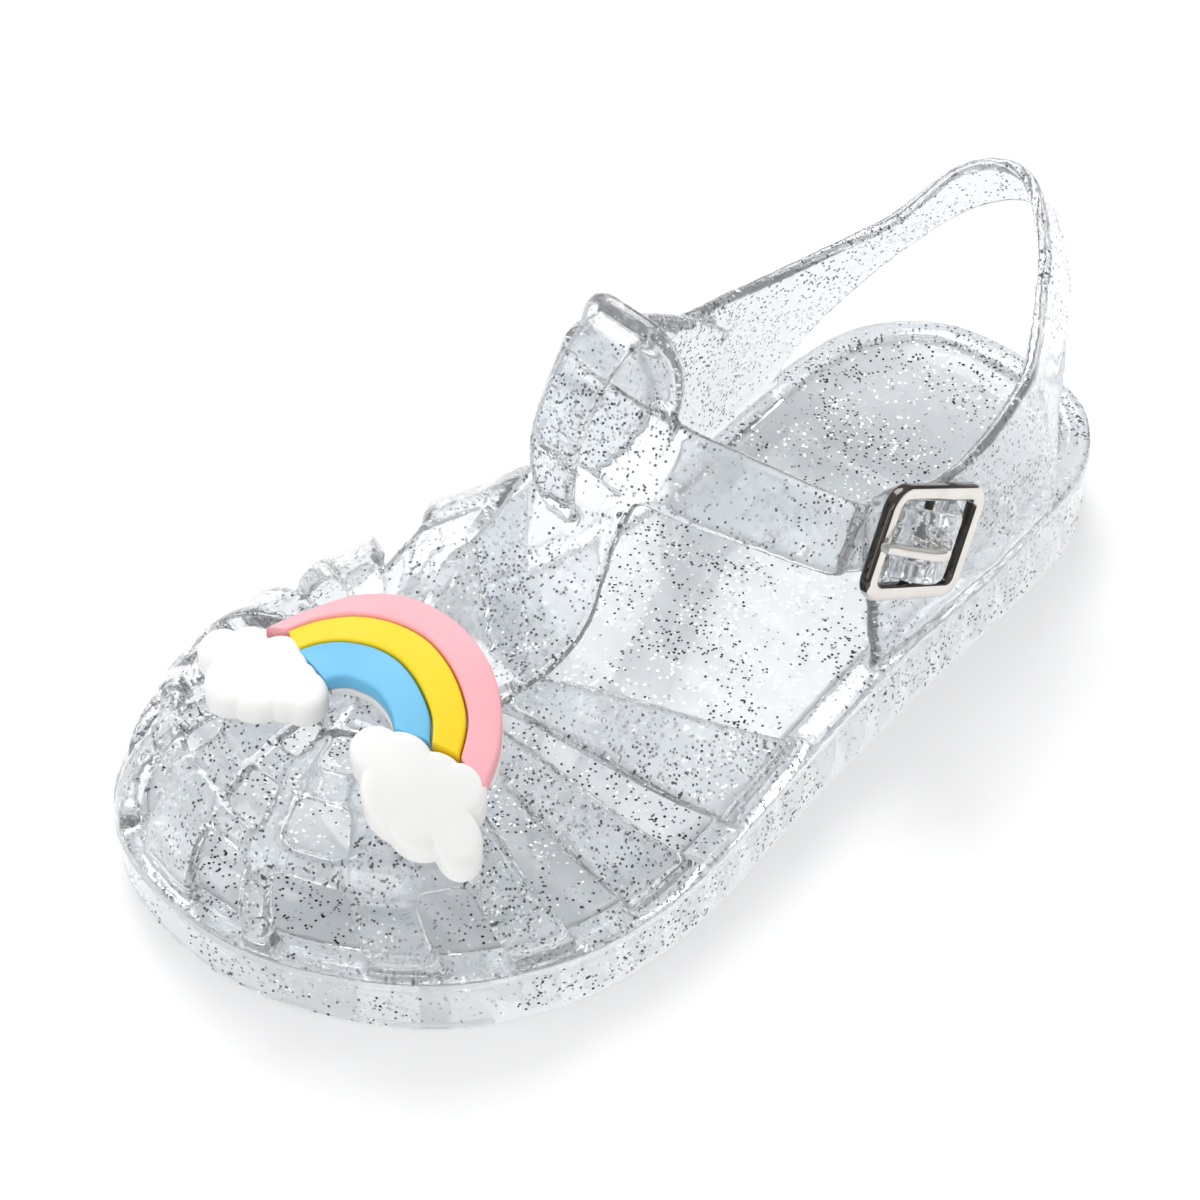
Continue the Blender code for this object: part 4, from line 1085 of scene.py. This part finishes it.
clouds = [piece("rubber_cloud_" + name, cloud_shape(lobes), ("charm_cloud_" + name,), 60.0)
          for name, lobes in (("toe", CLOUD_TOE), ("side", CLOUD_SIDE))]
print("clouds:", sum(triangles(thing) for thing in clouds), "triangles")

# %% [markdown]
# The glitter is thousands of thin six-sided flakes frozen in the plastic, about 0.4 mm across. One flake
# is copied by doubling, which is quick, and each copy is then moved to a random spot below the surface. The
# flakes lie nearly level with the wall, as they do in moulded plastic. Silver flakes mirror the light in
# some places and the dark in others, in drifts, and here that is painted: three sets are made, a dark set
# with a painted dark reflection, a silver set and a bright set with a painted glint.

# %% Glitter
FLAKE = 0.20 * MM
DOUBLINGS = 13
IN_WALL = (0.15 * MM, 0.9 * MM)
ON_FACE = (-0.07 * MM, -0.03 * MM)
DRIFT_SCALE = 95.0


def spots_below(thing, depth_low, depth_high, keep=None):
    """Endless random spots below a piece's surface, each with the surface's normal."""
    mesh = thing.data
    faces = [face for face in mesh.polygons if keep is None or keep(face)]
    sums = []
    total = 0.0
    for face in faces:
        total += face.area
        sums.append(total)
    chance = random.Random(len(faces))
    while True:
        face = faces[min(bisect.bisect_left(sums, chance.random() * total), len(faces) - 1)]
        corners = [mesh.vertices[index].co for index in face.vertices]
        a, b = sorted((chance.random(), chance.random()))
        spot = corners[0] * a + corners[1] * (b - a) + corners[2] * (1.0 - b)
        if len(corners) > 3 and chance.random() < 0.5:
            spot = corners[0] * a + corners[2] * (b - a) + corners[3] * (1.0 - b)
        normal = face.normal.copy()
        yield spot - normal * blend(depth_low, depth_high, chance.random()), normal


def flake_set(name, sources, wanted, seed):
    """One set of flakes. Wanted says how welcome a flake of this set is at a spot, from 0 to 1."""
    chance = random.Random(seed)
    shape = bmesh.new()
    bmesh.ops.create_circle(shape, cap_ends=True, segments=6, radius=FLAKE)
    for _ in range(DOUBLINGS):
        bmesh.ops.duplicate(shape, geom=shape.verts[:] + shape.edges[:] + shape.faces[:])
    flakes = list(shape.faces)
    corners = [vert.co.copy() for vert in flakes[0].verts]
    shares = [share for share, _ in sources]
    for flake in flakes:
        pick = chance.random() * sum(shares)
        index = 0
        while pick > shares[index] and index < len(shares) - 1:
            pick -= shares[index]
            index += 1
        while True:
            spot, normal = next(sources[index][1])
            if chance.random() < wanted(spot):
                break
        tilt = Vector([chance.gauss(0.0, 0.20 if index == 0 else 0.10) for _ in range(3)])
        turn = (normal + tilt).normalized().to_track_quat("Z", "Y").to_matrix()
        size = chance.uniform(0.8, 1.15)
        for vert, corner in zip(flake.verts, corners):
            vert.co = spot + turn @ (corner * size)
    return piece(name, shape)


def drift(spot, offset):
    """Slow pattern that gathers the flakes with a painted dark reflection, or those with a painted glint,
    into drifts.
    """
    return noise.noise(spot * DRIFT_SCALE + Vector((offset, 0.0, 0.0))) * 0.5 + 0.5


wall_spots = spots_below(upper, *IN_WALL)
side_spots = spots_below(sole, *ON_FACE, lambda face: abs(face.normal.z) < 0.5 and
                         abs(face.normal.y) < 0.995 and face.center.z > 0.8 * MM)
bed_spots = spots_below(footbed, *ON_FACE, lambda face: face.normal.z > 0.7)
flake_sources = [(0.50, wall_spots), (0.18, side_spots), (0.32, bed_spots)]
glint_sources = [(0.70, wall_spots), (0.16, side_spots), (0.14, bed_spots)]
# The dark set is a painted dark reflection and the bright set a painted glint, both gathered in drifts.
dark_reflection_flakes = flake_set("glitter_painted_dark_reflection", flake_sources,
                        lambda spot: smooth_share(drift(spot, 0.0), 0.35, 0.65), 11)
silver_flakes = flake_set("glitter_silver", flake_sources, lambda spot: 1.0, 12)
glint_flakes = flake_set("glitter_painted_glint", glint_sources,
                          lambda spot: smooth_share(drift(spot, 7.0), 0.4, 0.7), 13)
print("glitter:", 3 * 2 ** DOUBLINGS, "flakes")

# %% [markdown]
# Finishes are made of nodes. A small class holds one socket and lets Python's own signs add the Math
# nodes, so that a pattern reads like a sum. Every other node comes from one method, which takes the node's
# type, its settings and what goes into its sockets.

# %% Tools for finishes
class Wire:
    """A shader value. Sums, differences and products on it add Math nodes."""

    def __init__(self, nodes, socket):
        self.nodes = nodes
        self.socket = socket

    def join(self, operation, first, second):
        return self.nodes.node("ShaderNodeMath", {"operation": operation}, {0: first, 1: second})

    def __add__(self, other):
        return self.join("ADD", self, other)

    def __radd__(self, other):
        return self.join("ADD", other, self)

    def __sub__(self, other):
        return self.join("SUBTRACT", self, other)

    def __rsub__(self, other):
        return self.join("SUBTRACT", other, self)

    def __mul__(self, other):
        return self.join("MULTIPLY", self, other)

    def __rmul__(self, other):
        return self.join("MULTIPLY", other, self)


class Nodes:
    """A node tree that is filled one node at a time."""

    def __init__(self, tree):
        self.tree = tree
        self.count = 0
        tree.nodes.clear()

    def node(self, kind, settings, inputs, output=0):
        made = self.tree.nodes.new(kind)
        made.location = (self.count % 8 * 200.0, -(self.count // 8) * 260.0)
        self.count += 1
        for name, value in settings.items():
            if name == "stops":
                stops = made.color_ramp.elements
                for number, (place, colour) in enumerate(value):
                    stop = stops[number] if number < 2 else stops.new(place)
                    stop.position = place
                    stop.color = colour
            else:
                setattr(made, name, value)
        for name, value in inputs.items():
            if isinstance(value, Wire):
                self.tree.links.new(value.socket, made.inputs[name])
            else:
                made.inputs[name].default_value = value
        return Wire(self, made.outputs[output]) if made.outputs else None


class Finish(Nodes):
    """A material with a Principled shader. Its patterns read the piece's own coordinates."""

    def __init__(self, name):
        self.material = bpy.data.materials.new(name)
        self.material.use_nodes = True
        super().__init__(self.material.node_tree)
        self.spots = self.node("ShaderNodeTexCoord", {}, {}, "Object")

    def noise(self, scale, detail=2.0, roughness=0.5):
        return self.node("ShaderNodeTexNoise", {}, {"Vector": self.spots, "Scale": scale,
                                                    "Detail": detail, "Roughness": roughness}, "Fac")

    def bump(self, height, strength, distance):
        return self.node("ShaderNodeBump", {}, {"Height": height, "Strength": strength,
                                                "Distance": distance})

    def mix_colour(self, factor, first, second):
        return self.node("ShaderNodeMix", {"data_type": "RGBA"}, {0: factor, 6: first, 7: second}, 2)

    def surface(self, **inputs):
        names = {name.replace("_", " "): value for name, value in inputs.items()}
        shader = self.node("ShaderNodeBsdfPrincipled", {}, names)
        self.node("ShaderNodeOutputMaterial", {}, {"Surface": shader})
        return self.material


def dress(finish, *things):
    for thing in things:
        thing.data.materials.clear()
        thing.data.materials.append(finish)


# %% [markdown]
# The plastic is clear, so its looks come from how it bends and mirrors the light. Nearly all the light
# goes through, bent as by soft vinyl, and the colour takes a little red out, which tints the thick edges
# a cool grey. A small part of it is milky and it glows faintly, which stands in for the light that far
# more flakes than these scatter inside it. Slow waves of the surface, from noise, go into the bump.

# %% Clear plastic
# Piece, name, tint, least and most roughness, depth of the waves, clearness and glow.
PLASTICS = [(upper, "clear_upper_plastic", (0.915, 0.940, 0.961), 0.05, 0.13, 0.15, 0.94, 0.012),
            (sole, "clear_sole_plastic", (0.935, 0.953, 0.968), 0.20, 0.30, 0.25, 0.86, 0.07),
            (footbed, "clear_footbed_plastic", (0.915, 0.935, 0.950), 0.32, 0.45, 0.25, 0.88, 0.0)]


def clear_plastic(name, tint, rough_low, rough_high, wave, clear, glow):
    finish = Finish(name)
    waves = finish.noise(240.0, 1.0)
    rough = finish.noise(60.0, 0.0) * (rough_high - rough_low) + rough_low
    return finish.surface(Base_Color=(*tint, 1.0), Roughness=rough, IOR=1.46, Transmission_Weight=clear,
                          Coat_Weight=0.6, Coat_Roughness=0.04, Coat_IOR=1.46,
                          Emission_Color=(*tint, 1.0), Emission_Strength=glow,
                          Normal=finish.bump(waves, wave, 0.35 * MM))


for thing, *looks in PLASTICS:
    dress(clear_plastic(*looks), thing)
print("clear plastic on", upper.name, sole.name, footbed.name)

# %% [markdown]
# The flakes are thin metal foil. The dark set's near black colour is a painted dark reflection of the
# dark parts of a studio, and the bright set's white colour and faint glow are a painted glint.

# %% Glitter finishes
def foil(name, colour, roughness, glow=0.0):
    finish = Finish(name)
    shade = finish.noise(2500.0, 0.0)
    tone = finish.mix_colour(shade, (*[c * 0.7 for c in colour], 1.0), (*colour, 1.0))
    return finish.surface(Base_Color=tone, Roughness=roughness, Metallic=1.0,
                          Emission_Color=(1.0, 1.0, 1.0, 1.0), Emission_Strength=glow)


# Painted light: the dark foil's near black colour is a painted dark reflection, and the bright foil's white
# colour and glow are a painted glint.
dress(foil("foil_painted_dark_reflection", (0.035, 0.035, 0.04), 0.35), dark_reflection_flakes)
dress(foil("foil_silver", (0.55, 0.56, 0.58), 0.30), silver_flakes)
dress(foil("foil_painted_glint", (1.0, 1.0, 1.0), 0.40, 0.22), glint_flakes)

# %% [markdown]
# The buckle is steel with a polished nickel plate, a slightly warm metal with very fine polishing
# scratches. The faces of the buckle that point forward and up, but not far outward, get a much darker
# copy of the nickel, a painted dark reflection. The rubber is matt with a soft, even grain.

# %% Nickel and rubber
def nickel_plate(name, dull, bright):
    finish = Finish(name)
    long_spots = finish.node("ShaderNodeMapping", {}, {"Vector": finish.spots, "Scale": (1.0, 1.0, 14.0)})
    scratches = finish.node("ShaderNodeTexNoise", {}, {"Vector": long_spots, "Scale": 900.0,
                                                       "Detail": 3.0}, "Fac")
    wear = finish.noise(420.0, 3.0)
    tone = finish.mix_colour(wear, (*dull, 1.0), (*bright, 1.0))
    return finish.surface(Base_Color=tone, Metallic=1.0, Roughness=0.07 + scratches * 0.12,
                          Normal=finish.bump(scratches, 0.06, 0.1 * MM))


def soft_rubber(name, colour):
    finish = Finish(name)
    grain = finish.noise(2600.0, 3.0, 0.6)
    cloudy = finish.noise(140.0, 2.0)
    deep = (*[c * 0.93 for c in colour], 1.0)
    tone = finish.mix_colour(cloudy, deep, (*colour, 1.0))
    return finish.surface(Base_Color=tone, Roughness=0.48 + grain * 0.12,
                          Normal=finish.bump(grain, 0.10, 0.15 * MM))


dress(nickel_plate("polished_nickel", (0.66, 0.63, 0.59), (0.80, 0.78, 0.74)), buckle, prong)
# Painted shade: faces that point forward and up get a much darker copy of the nickel, a painted dark
# reflection.
buckle.data.materials.append(nickel_plate("nickel_painted_dark_reflection", (0.060, 0.055, 0.050), (0.11, 0.10, 0.09)))
dark_reflection_way = (UPWARD * 0.6 - HEELWARD * 0.8).normalized()
for face in buckle.data.polygons:
    if face.normal.dot(dark_reflection_way) > 0.30 and face.normal.dot(OUTWARD) < 0.80:
        face.material_index = 1
white_rubber = soft_rubber("white_rubber", (0.91, 0.91, 0.895))
dress(white_rubber, charm_base, *clouds)
for thing, colour in zip(bands, ((0.985, 0.47, 0.52), (1.0, 0.70, 0.006), (0.17, 0.55, 0.84))):
    dress(soft_rubber(thing.name + "_finish", colour), thing)
print("finishes:", len(bpy.data.materials))

# %% [markdown]
# The photograph was taken on white, under large soft lights. The floor is a plain pale sheet. The sky of
# the studio is bright above and grey toward the horizon, because clear plastic and metal need something
# darker to mirror. One large lamp from the right and behind makes the soft shadow at the lower left.

# %% Floor and light
def studio_floor():
    shape = bmesh.new()
    bmesh.ops.create_grid(shape, x_segments=1, y_segments=1, size=4.0)
    thing = add_object("floor", mesh_of("floor", shape))
    finish = Finish("floor_paper")
    tone = finish.mix_colour(finish.noise(30.0), (0.78, 0.78, 0.78, 1.0), (0.80, 0.80, 0.80, 1.0))
    dress(finish.surface(Base_Color=tone, Roughness=0.9, Emission_Color=(1.0, 1.0, 1.0, 1.0),
                         Emission_Strength=0.27), thing)


SKY_TONES = [(0.0, 0.50), (0.12, 0.52), (0.24, 0.84), (0.55, 1.0), (1.0, 1.1)]
SKY_STRENGTH = 0.68


def studio_sky():
    world = bpy.data.worlds.new("studio")
    bpy.context.scene.world = world
    world.use_nodes = True
    sky = Nodes(world.node_tree)
    way = sky.node("ShaderNodeTexCoord", {}, {}, "Generated")
    height = sky.node("ShaderNodeSeparateXYZ", {}, {0: way}, "Z")
    stops = [(place, (tone, tone, tone * 1.01, 1.0)) for place, tone in SKY_TONES]
    colour = sky.node("ShaderNodeValToRGB", {"stops": stops}, {"Fac": height})
    light = sky.node("ShaderNodeBackground", {}, {"Color": colour, "Strength": SKY_STRENGTH})
    sky.node("ShaderNodeOutputWorld", {}, {"Surface": light})


def aim(thing, place, target):
    """Puts a lamp or a camera in its place and turns it toward a target."""
    thing.location = place
    thing.rotation_euler = (target - Vector(place)).to_track_quat("-Z", "Y").to_euler()


def lamp(name, place, target, size, power):
    light = bpy.data.lights.new(name, "AREA")
    light.shape = "RECTANGLE"
    light.size, light.size_y = size
    light.energy = power
    aim(add_object(name, light), place, target)


studio_floor()
studio_sky()
middle = Vector((0.0, 0.0, 0.02))
lamp("key", (0.45, -0.25, 0.75), middle, (0.5, 0.5), 4.0)
lamp("fill", (-0.5, 0.7, 0.6), middle, (0.6, 0.4), 1.6)
lamp("back", (0.3, 0.9, 0.35), middle, (0.7, 0.3), 1.2)

# %% [markdown]
# The camera stands where the photographer's did: in front of the toe, on the sandal's outer side, looking
# down at about 42 degrees with a fairly long lens.

# %% Camera
CAMERA_PLACE = Vector((-0.2667, 0.2626, 0.3743))
CAMERA_AHEAD = Vector((0.5258, -0.4973, -0.6901))

camera_data = bpy.data.cameras.new("camera")
camera_data.sensor_width = 36.0
camera_data.lens = 114.0
camera_data.clip_start = 0.01
camera = add_object("camera", camera_data)
aim(camera, CAMERA_PLACE, CAMERA_PLACE + CAMERA_AHEAD)
bpy.context.scene.camera = camera
bpy.context.scene.view_settings.view_transform = "Standard"
print("camera:", camera_data.lens, "mm lens,", round((CAMERA_PLACE - middle).length, 2), "m away")
